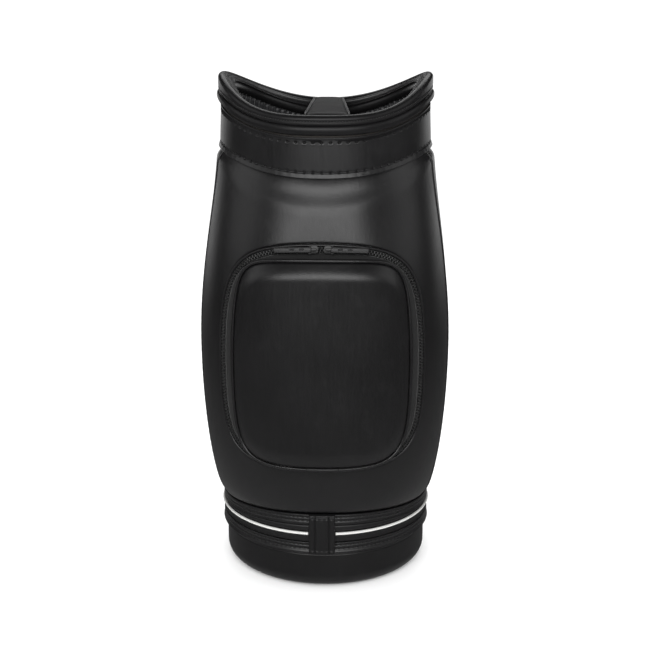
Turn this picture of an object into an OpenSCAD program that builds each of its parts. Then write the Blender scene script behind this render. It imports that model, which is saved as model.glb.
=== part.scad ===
// Miniature staff-style golf bag: a stiff lined tube in a leather-clad base cup,
// padded panels, a saddle-shaped cuff with a bridge strap, and a zipped front pocket.
// Origin: centre of the underside. +Z up, the pocket faces -Y.

/* [Base] */
// Radius of the base cup
cup_r = 99; // [97:0.5:101]
// Height of the plain part of the base cup
cup_h = 37; // [30:1:40]
// Thickness of the base cup's floor
cup_floor = 4; // [3:0.5:6]
// Radius of the white piping's round
white_cord_r = 1.4; // [1:0.1:1.8]
// Angle covered by the keeper tab on the base bands
tab_angle = 13.6; // [8:0.2:20]

/* [Tube] */
// Inside radius of the stiff tube
tube_in_r = 91.2; // [88:0.2:92]
// Top of the stiff tube at the dip of the cuff
tube_top = 417; // [400:1:420]

/* [Body] */
// Radius of the body at its seams, under the cuff and over the base
body_base_r = 99; // [98:0.5:100]
// Greatest half width of the body
body_half_w = 119; // [112:0.5:119]
// Greatest depth of the body in front of the axis
body_front = 123; // [116:0.5:123]
// Height at which the body is fullest
full_z = 225; // [200:5:250]
// Thickness of the padded leather panels
panel_t = 2.6; // [1.5:0.1:2.6]
// Angle of the front seams from the middle of the front
front_seam = 75; // [72:0.5:78]
// Angle of the rear seams from the middle of the front
rear_seam = 129.5; // [125:0.5:135]

/* [Cuff] */
// Height of the rim's centre line at front and rear
rim_low = 437.3; // [435:0.1:440]
// Rise of the rim from front and rear to the sides
rim_rise = 31.5; // [25:0.5:34]
// Radius of the rim's roll
roll_r = 8.5; // [7.5:0.1:8.5]

/* [Bridge] */
// Width of the bridge strap over the mouth
bridge_w = 30; // [24:1:34]
// Width of the bridge strap where it meets its front anchor
bridge_front_w = 40; // [36:1:46]
// Thickness of the bridge strap
bridge_t = 8; // [5:0.5:9]

/* [Pocket] */
// Half angle of the zipper line
zip_half_angle = 43.2; // [40:0.2:44]
// Top of the zipper line
zip_top = 331; // [325:1:335]
// Bottom of the pocket's outline
zip_bottom = 132; // [128:1:140]
// Half angle of the lid's face
face_half_angle = 35.8; // [33:0.2:36]
// Top of the lid's face
face_top = 321.5; // [316:0.5:322]
// Height of the lid's face over the body at its middle
lid_rise = 12; // [10:0.5:13]

/* [Slider] */
// Length of a slider's plate along the zipper
slider_l = 9; // [7:0.5:10]
// Width of a slider's plate across the zipper
slider_w = 7.8; // [7.8:0.1:9]
// Length of a pull tab
pull_l = 33; // [20:1:36]
// Width of a pull tab
pull_w = 5.4; // [4:0.2:5.4]

/* [Hidden] */

$fn = 96;
gap = 0.3;            // clearance left between neighbouring pieces
leather = "#2b2b2e";
dark = "#1d1d20";
ring_step = 5;        // degrees between the sections of a ring
loop_n = 48;          // points round the pocket's outlines
quarter = loop_n / 4;
deg_mm = 2.13;        // length of one degree on the body's front
neck_r = 97;          // outside of the cup's neck, under the leather bands
neck_top = 69;
neck_in_r = 94.3;
tube_out_r = 93.4;
band_r = 102.8;
skin_r = 96.8;        // radius of the body under the cuff
full_fade = 40;       // degrees over which a side panel falls back to the rear seam
squareness = 2.6;     // exponent of the body's rounded-square front half
chart_mid = (zip_top + zip_bottom) / 2;

// --- heights round the body, t = angle from the middle of the front ---
function sin2(t) = sin(t) * sin(t);
// the rim's front half stays low for longer than its rear half
function rim_z(t) = rim_low + rim_rise * pow(sin2(t), cos(t) > 0 ? 1.8 : 1);
function bead_z(t) = rim_low - 4.5 + (rim_rise - 6.5) * pow(sin2(t), 1.6);
function collar_top(t) = rim_low - 10.7 + (rim_rise - 9) * pow(sin2(t), 1.4);
function collar_low(t) = rim_low - 46.3 + (rim_rise - 12.2) * pow(sin2(t), 1.2);
function foot_z(t) = 77 - 7 * sin2(t);

// --- the body's outer surface ---
function clamp(x, lo, hi) = max(lo, min(hi, x));
function smooth(x) = let (c = clamp(x, 0, 1)) c * c * (3 - 2 * c);
function front_r(a) =
    pow(pow(sin(a) / body_half_w, squareness) + pow(cos(a) / body_front, squareness), -1 / squareness);
function side_r(a) =
    body_base_r + (body_half_w - body_base_r) * pow(cos(clamp((a - 90) * 90 / full_fade, 0, 90)), 1.3);
function full_r(t) = let (a = abs(t)) a <= 90 ? front_r(a) : side_r(a);
function bulge(t, z) = z >= full_z
    ? sin(90 * clamp((collar_low(t) - z) / (collar_low(t) - full_z), 0, 1))
    : pow(sin(90 * clamp((z - foot_z(t) + 4) / (full_z - foot_z(t) + 4), 0, 1)), 0.5);
function body_r(t, z) = skin_r + (body_base_r - skin_r) * smooth((collar_low(t) - z) / 10)
    + (full_r(t) - body_base_r) * bulge(t, z);
function at(t, r, z) = [r * sin(t), -r * cos(t), z];

// --- outlines on the front, as [angle, height]; point 0 is right, a quarter of them on is the top ---
function spread(f) = f < 0.5 ? 45 * pow(2 * f, 2.2) : 90 - 45 * pow(2 * (1 - f), 2.2);
function outline_angle(i) = let (q = floor(i / quarter)) 90 * q + spread(i / quarter - q);
function signed_pow(x, p) = sign(x) * pow(abs(x), p);
function outline_pt(o, i) =
    let (a = outline_angle(i), c = cos(a), s = sin(a),
        w = o[0], top = o[1] - o[3], low = o[2] + o[4],
        n = s >= 0 ? o[5] : o[6],
        x = w * signed_pow(c, 2 / n), y = signed_pow(s, 2 / n),
        arch = (s >= 0 ? o[3] : -o[4]) * abs(y) * (1 - x * x / (w * w)))
    [x, (top + low) / 2 + y * (top - low) / 2 + arch];
// half angle, top, bottom, rise of the top's arch, drop of the bottom's, two corner exponents
zip_line = [zip_half_angle, zip_top, zip_bottom, 11, 2, 5.0, 4.8];
face_line = [face_half_angle, face_top, zip_bottom + 1, 4, 2.5, 7, 5.5];
// unit direction out of the outline, in millimetres on the body
function outward(o, i) =
    let (a = outline_pt(o, i - 0.5), b = outline_pt(o, i + 0.5),
        d = [(b[0] - a[0]) * deg_mm, b[1] - a[1]], l = norm(d))
    [d[1] / l, -d[0] / l];
function offset_pt(o, i, a) =
    let (p = outline_pt(o, i), n = outward(o, i)) [p[0] + a * n[0] / deg_mm, p[1] + a * n[1]];
// a point a outside the outline and h over the body
function on_body(o, i, a, h) = let (p = offset_pt(o, i, a)) at(p[0], body_r(p[0], p[1]) + h, p[1]);
// the lid's face stands highest at its middle
function face_rise(t) = lid_rise - 7 * pow(t / face_half_angle, 2);
function on_face(a, i, h) = let (p = offset_pt(face_line, i, a))
    at(p[0], body_r(p[0], p[1]) + face_rise(p[0]) + h, p[1]);

// --- solids made of sections; each section runs counter-clockwise seen against the sweep ---
function quads(rows, n, wrap) = [for (i = [0 : rows - (wrap ? 1 : 2)], j = [0 : n - 1], k = [0 : 1])
    let (a = i * n + j, b = i * n + (j + 1) % n,
        c = ((i + 1) % rows) * n + (j + 1) % n, d = ((i + 1) % rows) * n + j)
    k == 0 ? [a, b, c] : [a, c, d]];
module sweep(sections, wrap = false) {
    rows = len(sections);
    n = len(sections[0]);
    caps = wrap ? [] : [[for (j = [n - 1 : -1 : 0]) j], [for (j = [0 : n - 1]) (rows - 1) * n + j]];
    polyhedron(points = [for (s = sections, p = s) p], faces = concat(quads(rows, n, wrap), caps),
        convexity = 8);
}
function angles(from, to, n) = [for (i = [0 : n]) from + (to - from) * i / n];
// a full ring whose section is a list of [r, z] that may depend on the angle
module ring(sections) { sweep(sections, wrap = true); }
ring_angles = [for (t = [0 : ring_step : 360 - ring_step]) t];
function round_section(r, z, rr, rz, n) = [for (k = [0 : n - 1]) [r + rr * cos(360 * k / n), z + rz * sin(360 * k / n)]];
function placed(t, section) = [for (p = section) at(t, p[0], p[1])];

// --- base ---
module base_cup() {
    fillet = 13;
    wall = cup_r - neck_in_r;
    color(leather) rotate_extrude() difference() {
        polygon(concat([[0, 0], [cup_r - fillet, 0]],
            [for (a = [-80 : 10 : 0]) [cup_r - fillet + fillet * cos(a), fillet + fillet * sin(a)]],
            [[cup_r, cup_h], [neck_r, cup_h], [neck_r, neck_top], [neck_r - wall + 2, neck_top],
             [neck_in_r, neck_top - 1], [neck_in_r, cup_floor], [0, cup_floor]]));
    }
}
module band(z0, z1, r) {
    lip = 0.8;
    rotate_extrude() polygon([[neck_r + 0.2, z0], [r - lip, z0], [r, z0 + lip], [r, z1 - lip],
        [r - lip, z1], [neck_r + 0.2, z1]]);
}
module lower_band() { color(leather) band(cup_h + 0.3, 48.3, band_r); }
module channel_band() { color(dark) band(48.6, 55.4, 101.6); }
module white_piping() {
    half = tab_angle / 2 + 0.4;
    color("#e9e9e6") rotate([0, 0, -90 + half]) rotate_extrude(angle = 360 - 2 * half) {
        translate([102.4, 57.5]) circle(white_cord_r, $fn = 24);
        translate([neck_r + 0.2, 57]) square([101.6 - neck_r, 1]);
    }
}
module channel_roll() {
    color(dark) rotate_extrude() {
        translate([101.2, 62.4]) circle(1.8, $fn = 24);
        translate([neck_r + 0.2, 59.6]) square([4.2, 5.6]);
    }
}
// the upper band's top follows the foot of the body
module upper_band() {
    color(leather) ring([for (t = ring_angles) let (top = foot_z(t) - 0.4)
        placed(t, [[neck_r + 0.3, 65.6], [101.9, 65.6], [102.6, 66.3], [102.6, top - 0.8],
            [101.9, top], [neck_r + 0.3, top]])]);
}
module base_tab() {
    color(leather) rotate([0, 0, -90 - tab_angle / 2]) rotate_extrude(angle = tab_angle)
        polygon([[band_r + 0.3, 37.6], [104.4, 37.6], [104.9, 38.2], [104.9, 75.4], [104.4, 76],
            [band_r + 0.3, 76]]);
}

// --- tube and lining ---
module tube() {
    color("#3a3633") translate([0, 0, cup_floor + 0.2]) difference() {
        cylinder(r = tube_out_r, h = tube_top - cup_floor);
        translate([0, 0, -1]) cylinder(r = tube_in_r, h = tube_top + 2);
    }
}
module floor_board() {
    color("#6b5a45") translate([0, 0, cup_floor + 0.2]) cylinder(r = tube_in_r - gap, h = 3);
}
module floor_pad() { color(dark) translate([0, 0, cup_floor + 3.4]) cylinder(r = 89.3, h = 2.4); }
module tube_lining() {
    color("#343438") ring([for (t = ring_angles)
        placed(t, [[89.7, cup_floor + 3.4], [tube_in_r - 0.6, cup_floor + 3.4],
            [tube_in_r - 0.6, rim_z(t) - 9], [89.7, rim_z(t) - 9]])]);
}

// --- body panels ---
panel_top_tuck = 9.5;
function panel_top(t) = collar_low(t) + panel_top_tuck;
function panel_foot(t) = foot_z(t) + 0.2;
seam_half = 0.85;     // degrees from a seam to the panel's edge
half_side = loop_n / 8;
// the panel's rectangle in the chart, met by the outline point i; inset shrinks it to the cuff's edge
function frame_pt(i, inset) =
    let (q = floor(i / half_side), e = i / half_side - q,
        w = front_seam - seam_half - (inset ? 0.8 : 0),
        side = [[1, e], [1 - e, 1], [-e, 1], [-1, 1 - e], [-1, -e], [-1 + e, -1], [e, -1], [1, -1 + e]][q],
        t = w * side[0],
        top = inset ? collar_low(t) - 0.8 : panel_top(t),
        low = panel_foot(t) + (inset ? 1.5 : 0))
    [t, side[1] >= 0 ? chart_mid + (top - chart_mid) * side[1] : chart_mid + (chart_mid - low) * side[1]];
// step 0 is the opening's edge, the last but one the inset rectangle, the last the panel's own edge
function front_pt(i, k, steps) = k == steps ? frame_pt(i, false)
    : let (o = offset_pt(zip_line, i, 4.9), e = frame_pt(i, true), f = k / (steps - 1)) o + (e - o) * f;
module front_panel() {
    steps = 7;
    sections = 2 * loop_n;
    color(leather) ring([for (j = [0 : sections - 1]) let (i = j * loop_n / sections)
        concat([for (k = [0 : steps]) let (p = front_pt(i, k, steps))
                at(p[0], body_r(p[0], p[1]) - panel_t, p[1])],
            [for (k = [steps : -1 : 0]) let (p = front_pt(i, k, steps))
                at(p[0], body_r(p[0], p[1]), p[1])])]);
}
// heights of a side or rear panel's rows: even up the body, close together under the cuff
function panel_rows(t, n) = let (lo = panel_foot(t), hi = collar_low(t) - 0.8)
    concat([for (k = [0 : n]) lo + (hi - 11 - lo) * k / n], [hi - 7, hi - 3.5, hi, panel_top(t)]);
module panel(from, to, cols, rows) {
    color(leather) sweep([for (t = angles(from, to, cols))
        let (zs = panel_rows(t, rows), last = len(zs) - 1)
        concat([for (z = zs) at(t, body_r(t, z), z)],
            [for (k = [last : -1 : 0]) at(t, body_r(t, zs[k]) - panel_t, zs[k])])]);
}
module right_panel() { panel(front_seam + seam_half, rear_seam - seam_half, 10, 13); }
module left_panel() { mirror([1, 0, 0]) right_panel(); }
module rear_panel() { panel(rear_seam + seam_half, 360 - rear_seam - seam_half, 18, 1); }
module seam_cord(t) {
    cord_r = 1.2;
    rows = 20;
    low = panel_foot(t);
    high = collar_low(t) - 0.6;
    sides = 8;
    color(leather) sweep([for (k = [0 : rows]) let (z = low + (high - low) * k / rows)
        [for (j = [0 : sides - 1]) at(t + cord_r * sin(360 * j / sides) / (body_r(t, z) * PI / 180),
            body_r(t, z) - 0.2 + cord_r * cos(360 * j / sides), z)]]);
}
module front_seam_right() { seam_cord(front_seam); }
module front_seam_left() { mirror([1, 0, 0]) seam_cord(front_seam); }
module rear_seam_right() { seam_cord(rear_seam); }
module rear_seam_left() { mirror([1, 0, 0]) seam_cord(rear_seam); }

// --- cuff ---
crown_r = skin_r - 0.4;
module collar_crown() {
    color("#3a3633") ring([for (t = ring_angles)
        placed(t, [[neck_in_r, panel_top(t) + 0.4], [crown_r, panel_top(t) + 0.4],
            [crown_r, rim_z(t) - roll_r - 0.6], [neck_in_r, rim_z(t) - roll_r - 0.6]])]);
}
module collar_band() {
    out = body_base_r;
    back = skin_r + 1.4;
    color(leather) ring([for (t = ring_angles) let (lo = collar_low(t), hi = collar_top(t))
        placed(t, [[back, lo], [out + 0.6, lo], [out + 1.2, lo + 1.6], [out + 0.2, lo + 4.4],
            [out - 0.2, lo + 6], [out - 0.2, hi - 3], [out, hi - 0.8], [out - 0.6, hi], [back, hi]])]);
}
module rim_bead() {
    color(leather) ring([for (t = ring_angles)
        placed(t, round_section(99.2, bead_z(t), 2.3, 4, 12))]);
}
roll_c = 91.7;
roll_neck = 90.6;     // inner radius of the roll's stitched foot, behind the padded inner roll
function roll_section(t) =
    let (z = rim_z(t), flank = min(bead_z(t) + 4.3, z - 0.2), foot_r = crown_r - 0.1)
    concat([[roll_neck, z - roll_r + 0.4], [foot_r, z - roll_r + 0.4], [foot_r, flank],
            [roll_c + roll_r - 0.3, flank]],
        [for (a = [5 : 17.5 : 180]) [roll_c + roll_r * cos(a), z + roll_r * sin(a)]],
        [[roll_c - roll_r + 0.5, z - 1], [roll_neck, z - 1]]);
module rim_roll() { color(leather) ring([for (t = ring_angles) placed(t, roll_section(t))]); }
module rim_facing() {
    color(leather) ring([for (t = ring_angles) placed(t, round_section(86.9, rim_z(t) - 6, 3.3, 4.6, 12))]);
}

// --- bridge strap across the mouth, as sections from front to rear ---
bridge_reach = 82.6;
function bridge_top(y) = rim_low + 7.8 + y * 0.012 + 1.6 * cos(90 * y / bridge_reach);
function bridge_half(y) = bridge_w / 2
    + (bridge_front_w - bridge_w) / 2 * smooth((bridge_reach * 0.55 - y) / (bridge_reach * 1.4));
function bridge_ys() = [for (k = [0 : 16]) -70 + 148 * k / 16];
// the strap's section between the two beads
function strap_section(y) =
    let (w = bridge_half(y) - 2.6, z = bridge_top(y))
    [[-w, y, z - bridge_t], [w, y, z - bridge_t], [w, y, z - 2.4], [w - 1, y, z - 0.8],
     [w * 0.5, y, z - 0.2], [0, y, z], [-w * 0.5, y, z - 0.2], [-w + 1, y, z - 0.8], [-w, y, z - 2.4]];
module bridge_strap() {
    ys = bridge_ys();
    color(leather) sweep([for (i = [len(ys) - 1 : -1 : 0]) strap_section(ys[i])]);
}
module bridge_bead(side) {
    color(leather) sweep([for (y = bridge_ys()) let (w = bridge_half(y) - 1.15, z = bridge_top(y) - 1.8)
        [for (j = [0 : 7]) [side * w + 1.15 * cos(45 * j), y, z + 1.3 * sin(45 * j)]]]);
}
module bridge_bead_left() { bridge_bead(-1); }
module bridge_bead_right() { bridge_bead(1); }
module anchor(y0, half0, y1, half1, reach) {
    z = rim_low + 6.2;
    color(leather) intersection() {
        translate([0, 0, z - 8]) linear_extrude(8)
            polygon([[-half0, y0], [half0, y0], [half1, y1], [-half1, y1]]);
        cylinder(r = reach, h = 600);
    }
}
module bridge_anchor_front() { anchor(-84, 29, -70.4, 21, bridge_reach); }
module bridge_anchor_rear() { anchor(84, -17, 78.4, -16, bridge_reach); }

// --- pocket ---
module pocket_back() {
    color(dark) sweep([for (t = angles(-46, 46, 14))
        [for (z = [126, 338]) at(t, neck_in_r + 1.1, z), for (z = [338, 126]) at(t, neck_in_r + 0.1, z)]]);
}
module pocket_wall() {
    color(dark) ring([for (i = [0 : loop_n - 1])
        [at_depth(i, 4.6, 95.7), on_wall(i, 4.6), on_wall(i, 3.6), at_depth(i, 3.6, 95.7)]]);
}
function at_depth(i, a, r) = let (p = offset_pt(zip_line, i, a)) at(p[0], r, p[1]);
function on_wall(i, a) = on_body(zip_line, i, a, -1.8);
function coil_section(o, i, a, w, h0, h1) = [on_body(o, i, a - w, h0), on_body(o, i, a + w, h0),
    on_body(o, i, a + w, (h0 + h1) / 2), on_body(o, i, a + w * 0.5, h1), on_body(o, i, a - w * 0.5, h1),
    on_body(o, i, a - w, (h0 + h1) / 2)];
module pocket_edge_bead() {
    color(leather) ring([for (i = [0 : loop_n - 1])
        [for (j = [0 : 7]) on_body(zip_line, i, 3.65 + 0.95 * cos(45 * j), 0.3 + 1.3 * sin(45 * j))]]);
}
zip_from = -7;        // outline points at which the zipper starts and ends, low on either side
zip_to = 31;
module strip(a0, a1, h0, h1) {
    sweep([for (i = [zip_from : zip_to]) [on_body(zip_line, i, a0, h0), on_body(zip_line, i, a1, h0),
        on_body(zip_line, i, a1, h1), on_body(zip_line, i, a0, h1)]]);
}
module zip_tape_fixed() { color(dark) strip(0.2, 3.3, -1.7, -1.1); }
module zip_tape_lid() { color(dark) strip(-4.4, -0.2, -1.2, -0.6); }
module zip_coil_fixed() {
    color("#242427") sweep([for (i = [zip_from : zip_to]) coil_section(zip_line, i, 1.4, 1.2, -0.9, 1.2)]);
}
module zip_coil_lid() {
    color("#242427") sweep([for (i = [zip_from : zip_to]) coil_section(zip_line, i, -1.4, 1.2, -0.4, 1.2)]);
}
module lid_wall() {
    color(leather) ring([for (i = [0 : loop_n - 1])
        [on_body(zip_line, i, -4.2, 0.2), on_body(zip_line, i, -2.9, 0.2), on_face(0.4, i, -2.8),
         on_face(-1.2, i, -3.2)]]);
}
module lid_piping() {
    color(leather) ring([for (i = [0 : loop_n - 1])
        [for (j = [0 : 7]) on_face(1.9 + 1.5 * cos(45 * j), i, -0.6 + 1.5 * sin(45 * j))]]);
}
// the face: loops shrinking to the middle, on an outer and an inner surface
module lid_face() {
    shrink = [1, 0.97, 0.8, 0.55, 0.28];
    loops = len(shrink);
    depth = [0, -1.8];
    function face_pt(i, f, h) = let (e = offset_pt(face_line, i, 0),
        p = [e[0] * f, chart_mid + (e[1] - chart_mid) * f])
        at(p[0], body_r(p[0], p[1]) + face_rise(p[0]) + h - (f == 1 ? (h == 0 ? 0.6 : 0) : 0), p[1]);
    pts = concat([for (d = depth, f = shrink, i = [0 : loop_n - 1]) face_pt(i, f, d)],
        [for (d = depth) face_pt(0, 0, d)]);
    centre = loops * loop_n * 2;
    function id(s, l, i) = (s * loops + l) * loop_n + i % loop_n;
    skin = [for (s = [0, 1], l = [0 : loops - 2], i = [0 : loop_n - 1], k = [0 : 1])
        let (q = [id(s, l, i), id(s, l + 1, i), id(s, l + 1, i + 1), id(s, l, i + 1)],
            f = k == 0 ? [q[0], q[1], q[2]] : [q[0], q[2], q[3]])
        s == 0 ? f : [f[2], f[1], f[0]]];
    middle = [for (s = [0, 1], i = [0 : loop_n - 1])
        let (f = [id(s, loops - 1, i), centre + s, id(s, loops - 1, i + 1)]) s == 0 ? f : [f[2], f[1], f[0]]];
    edge = [for (i = [0 : loop_n - 1], k = [0 : 1])
        k == 0 ? [id(0, 0, i), id(0, 0, i + 1), id(1, 0, i + 1)] : [id(0, 0, i), id(1, 0, i + 1), id(1, 0, i)]];
    color(leather) polyhedron(points = pts, faces = concat(skin, middle, edge), convexity = 4);
}

// --- sliders and pull tabs; the sliders run on a tilted circle that fits the zipper's top ---
track_tilt = 34.6;    // of the circle's axis, forward from upright
track_y = 16.6;
track_z = 241.3;
track_r = 158;
slider_rest = 2.5;    // degrees along the circle from the middle of the zipper
body_slope = 23.5;    // degrees from the circle's own radius to the body's surface normal
// local +X runs outward along the zipper, +Z out of the body, origin on the coil's centre line
module on_track(side) {
    translate([0, track_y, track_z]) rotate([-track_tilt, 0, 0]) rotate([0, 0, side * slider_rest])
        translate([0, -track_r, 0]) rotate([90 + body_slope, 0, 0]) mirror([side < 0 ? 1 : 0, 0, 0])
        children();
}
plate_z = 1.3;        // underside of the slider's plate over the coil's centre line
plate_t = 1.2;
pivot_x = 3;
pivot_z = plate_z + plate_t + 1.7;
module slider() {
    color("#2e2e31") {
        translate([-slider_l / 2, -slider_w / 2, plate_z]) cube([slider_l, slider_w, plate_t]);
        // cheeks on either side of the pull tab
        for (y = [-1, 1]) translate([pivot_x - 1, y * (pull_w / 2 + 0.75) - 0.4, plate_z + plate_t - 0.1])
            cube([2, 0.8, 2.8]);
    }
}
module slider_left() { on_track(-1) slider(); }
module slider_right() { on_track(1) slider(); }
pull_drop = 5;        // degrees that a resting pull tab slopes towards the body
module pull() {
    color(leather) translate([pivot_x, 0, pivot_z]) rotate([0, pull_drop, 0])
        translate([-1.2, -pull_w / 2, -0.7]) cube([pull_l, pull_w, 1.6]);
}
module pull_left() { on_track(-1) pull(); }
module pull_right() { on_track(1) pull(); }

base_cup();
lower_band();
channel_band();
white_piping();
channel_roll();
upper_band();
base_tab();
tube();
floor_board();
floor_pad();
tube_lining();
front_panel();
left_panel();
right_panel();
rear_panel();
front_seam_left();
front_seam_right();
rear_seam_left();
rear_seam_right();
collar_crown();
collar_band();
rim_bead();
rim_roll();
rim_facing();
bridge_strap();
bridge_bead_left();
bridge_bead_right();
bridge_anchor_front();
bridge_anchor_rear();
pocket_back();
pocket_wall();
pocket_edge_bead();
zip_tape_fixed();
zip_coil_fixed();
lid_face();
lid_wall();
lid_piping();
zip_tape_lid();
zip_coil_lid();
slider_left();
slider_right();
pull_left();
pull_right();
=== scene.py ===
import bpy
import numpy as np
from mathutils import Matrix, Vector


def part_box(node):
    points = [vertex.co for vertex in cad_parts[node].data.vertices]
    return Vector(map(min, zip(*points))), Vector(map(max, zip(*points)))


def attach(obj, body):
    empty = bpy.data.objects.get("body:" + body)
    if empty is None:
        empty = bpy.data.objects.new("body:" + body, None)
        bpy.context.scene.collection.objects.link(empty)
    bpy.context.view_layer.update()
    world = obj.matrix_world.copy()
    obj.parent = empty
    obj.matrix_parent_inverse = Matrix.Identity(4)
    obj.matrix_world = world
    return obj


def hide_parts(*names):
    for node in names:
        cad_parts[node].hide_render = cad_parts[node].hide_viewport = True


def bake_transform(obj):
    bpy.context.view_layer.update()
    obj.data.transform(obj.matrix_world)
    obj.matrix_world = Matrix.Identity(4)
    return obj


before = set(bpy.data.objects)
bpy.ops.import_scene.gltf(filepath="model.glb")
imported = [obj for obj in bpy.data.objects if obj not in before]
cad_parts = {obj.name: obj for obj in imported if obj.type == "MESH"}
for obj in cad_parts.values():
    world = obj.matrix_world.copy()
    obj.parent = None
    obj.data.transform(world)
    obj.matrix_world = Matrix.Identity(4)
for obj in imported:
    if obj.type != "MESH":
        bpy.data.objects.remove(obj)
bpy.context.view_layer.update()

bl_info = {
    "name": "Miniature golf bag",
    "version": (1, 0, 0),
    "blender": (4, 5, 0),
    "location": "View3D > Sidebar > Golf bag",
    "description": "Builds the leather, trim and zipper of a miniature golf bag round its frame",
    "category": "Add Mesh",
}

MM = 0.001


def span(node):
    """Lowest and highest corner of a frame node, in millimetres."""
    low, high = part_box(node)
    return np.array(low) / MM, np.array(high) / MM


# --- sizes taken from the frame ---
CUP_R = span("base_cup")[1][0]
CUP_H = span("lower_band")[0][2] - 0.3
TAB_LOW, TAB_HIGH = span("base_tab")[0][2], span("base_tab")[1][2]
BODY_R = CUP_R
LID_RISE = 12.0
HALF_WIDTH = span("right_panel")[1][0]
FRONT_DEPTH = -span("lid_face")[0][1] - LID_RISE
ROLL_R = 8.5
RIM_LOW = span("rim_roll")[0][2] + ROLL_R - 0.4
RIM_RISE = span("rim_roll")[1][2] - ROLL_R - RIM_LOW
ROLL_CENTRE = span("rim_roll")[1][0] - ROLL_R - 0.05
SKIN_R = BODY_R - 2.2
FULL_Z = 225.0
SHOULDER = 3.0
SQUARENESS = 2.6
SIDE_FADE = 40.0
FRONT_SEAM, REAR_SEAM, SEAM_GAP = 75.0, 129.5, 0.55
PANEL_THICK = 2.4
DEG_MM = 2.13
ZIP_LINE = dict(half=43.2, top=331.0, low=132.0, arch=11.0, sag=2.0, up=5.0, down=4.8)
FACE_LINE = dict(half=35.8, top=321.5, low=133.0, arch=4.0, sag=2.5, up=7.0, down=5.5)
CHART_MID = (ZIP_LINE["top"] + ZIP_LINE["low"]) / 2
OUTLINE_N = 48.0
OPENING = 4.9
TRACK_TILT, TRACK_Y, TRACK_Z, TRACK_R, TRACK_REST = 34.6, 16.6, 241.3, 158.0, 2.5
BODY_SLOPE = 23.5


# --- heights and radii of the bag ---
def sin2(t):
    return np.sin(np.radians(t)) ** 2


def smooth(x):
    x = np.clip(x, 0, 1)
    return x * x * (3 - 2 * x)


def bump(x, width):
    """A bell of height 1 at x = 0 whose shoulders lie at +-width."""
    return np.exp(-0.5 * (x / width) ** 2)


def circle(sides):
    """Angles round a cord's section in radians, as one row."""
    return np.linspace(0, 2 * np.pi, sides, endpoint=False)[None]


def from_hole(run, pitch):
    """Distance to the nearest needle hole of a stitch row at length run along it."""
    phase = (run / pitch) % 1.0
    return np.minimum(phase, 1 - phase) * pitch


def rim_z(t):
    """The front half stays low for longer than the rear half."""
    return RIM_LOW + RIM_RISE * np.where(np.cos(np.radians(t)) > 0, sin2(t) ** 1.8, sin2(t))


def bead_z(t):
    return RIM_LOW - 4.5 + (RIM_RISE - 6.5) * sin2(t) ** 1.6


def collar_top(t):
    return RIM_LOW - 10.7 + (RIM_RISE - 9) * sin2(t) ** 1.4


def collar_low(t):
    return RIM_LOW - 46.3 + (RIM_RISE - 12.2) * sin2(t) ** 1.2


def foot_z(t):
    return 77 - 7 * sin2(t)


def full_r(t):
    """Rounded-square front half, then a cosine fall to the rear seams."""
    a = np.abs((t + 180) % 360 - 180)
    turn = np.radians(np.minimum(a, 90))
    front = ((np.sin(turn) / HALF_WIDTH) ** SQUARENESS
             + (np.cos(turn) / FRONT_DEPTH) ** SQUARENESS) ** (-1 / SQUARENESS)
    fade = np.cos(np.radians(np.clip((a - 90) * 90 / SIDE_FADE, 0, 90)))
    return np.where(a <= 90, front, BODY_R + (HALF_WIDTH - BODY_R) * np.maximum(fade, 0) ** 1.3)


def bulge(t, z):
    """Share of the full radius: a quarter sine down from the cuff, its root up from the foot."""
    drop, side = collar_low(t) - z, sin2(t)
    up = np.sin(np.radians(90 * np.clip(drop / (collar_low(t) - FULL_Z), 0, 1)))
    up = up ** (1 + 0.35 * side) * smooth(drop / (27 - 22 * side))
    foot = foot_z(t)
    low = np.sin(np.radians(90 * np.clip((z - foot) / (FULL_Z - foot), 0, 1))) ** 0.5
    return np.where(z >= FULL_Z, up, low)


def body_r(t, z):
    """Radius of the body; at the sides it steps out by SHOULDER as it leaves the cuff."""
    drop, share, side = collar_low(t) - z, bulge(t, z), sin2(t)
    step = SHOULDER * side * np.where(z >= FULL_Z, 1 - share, 0) * smooth(drop / 9)
    return SKIN_R + (BODY_R - SKIN_R) * smooth(drop / (34 - 22 * side)) + step + (full_r(t) - BODY_R) * share


def place(t, r, z):
    """(angle, radius, height) to x, y, z."""
    t, r, z = np.broadcast_arrays(np.radians(t), r, z)
    return np.stack([r * np.sin(t), -r * np.cos(t), z], axis=-1)


# --- outlines on the front: point 0 is right, 12 top, 24 left, 36 bottom ---
def outline(shape, i):
    """Superellipse with an arched top and a sagging bottom; points crowd towards the axes and corners."""
    quarter = np.floor(i / 12)
    f = i / 12 - quarter
    turn = np.where(f < 0.5, 45 * (2 * f) ** 2.2, 90 - 45 * (2 * np.maximum(1 - f, 0)) ** 2.2)
    a = np.radians(90 * quarter + turn)
    c, s = np.cos(a), np.sin(a)
    n = np.where(s >= 0, shape["up"], shape["down"])
    high, low = shape["top"] - shape["arch"], shape["low"] + shape["sag"]
    x = shape["half"] * np.sign(c) * np.abs(c) ** (2 / n)
    y = np.sign(s) * np.abs(s) ** (2 / n)
    arch = np.where(s >= 0, shape["arch"], -shape["sag"]) * np.abs(y) * (1 - (x / shape["half"]) ** 2)
    return x, (high + low) / 2 + y * (high - low) / 2 + arch


def offset_line(shape, i, a):
    """The outline moved a millimetres outward."""
    x, z = outline(shape, i)
    x0, z0 = outline(shape, i - 0.5)
    x1, z1 = outline(shape, i + 0.5)
    dx, dz = (x1 - x0) * DEG_MM, z1 - z0
    length = np.hypot(dx, dz)
    return x + a * dz / length / DEG_MM, z - a * dx / length


def on_body(shape, i, a, h):
    t, z = offset_line(shape, i, a)
    return place(t, body_r(t, z) + h, z)


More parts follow.
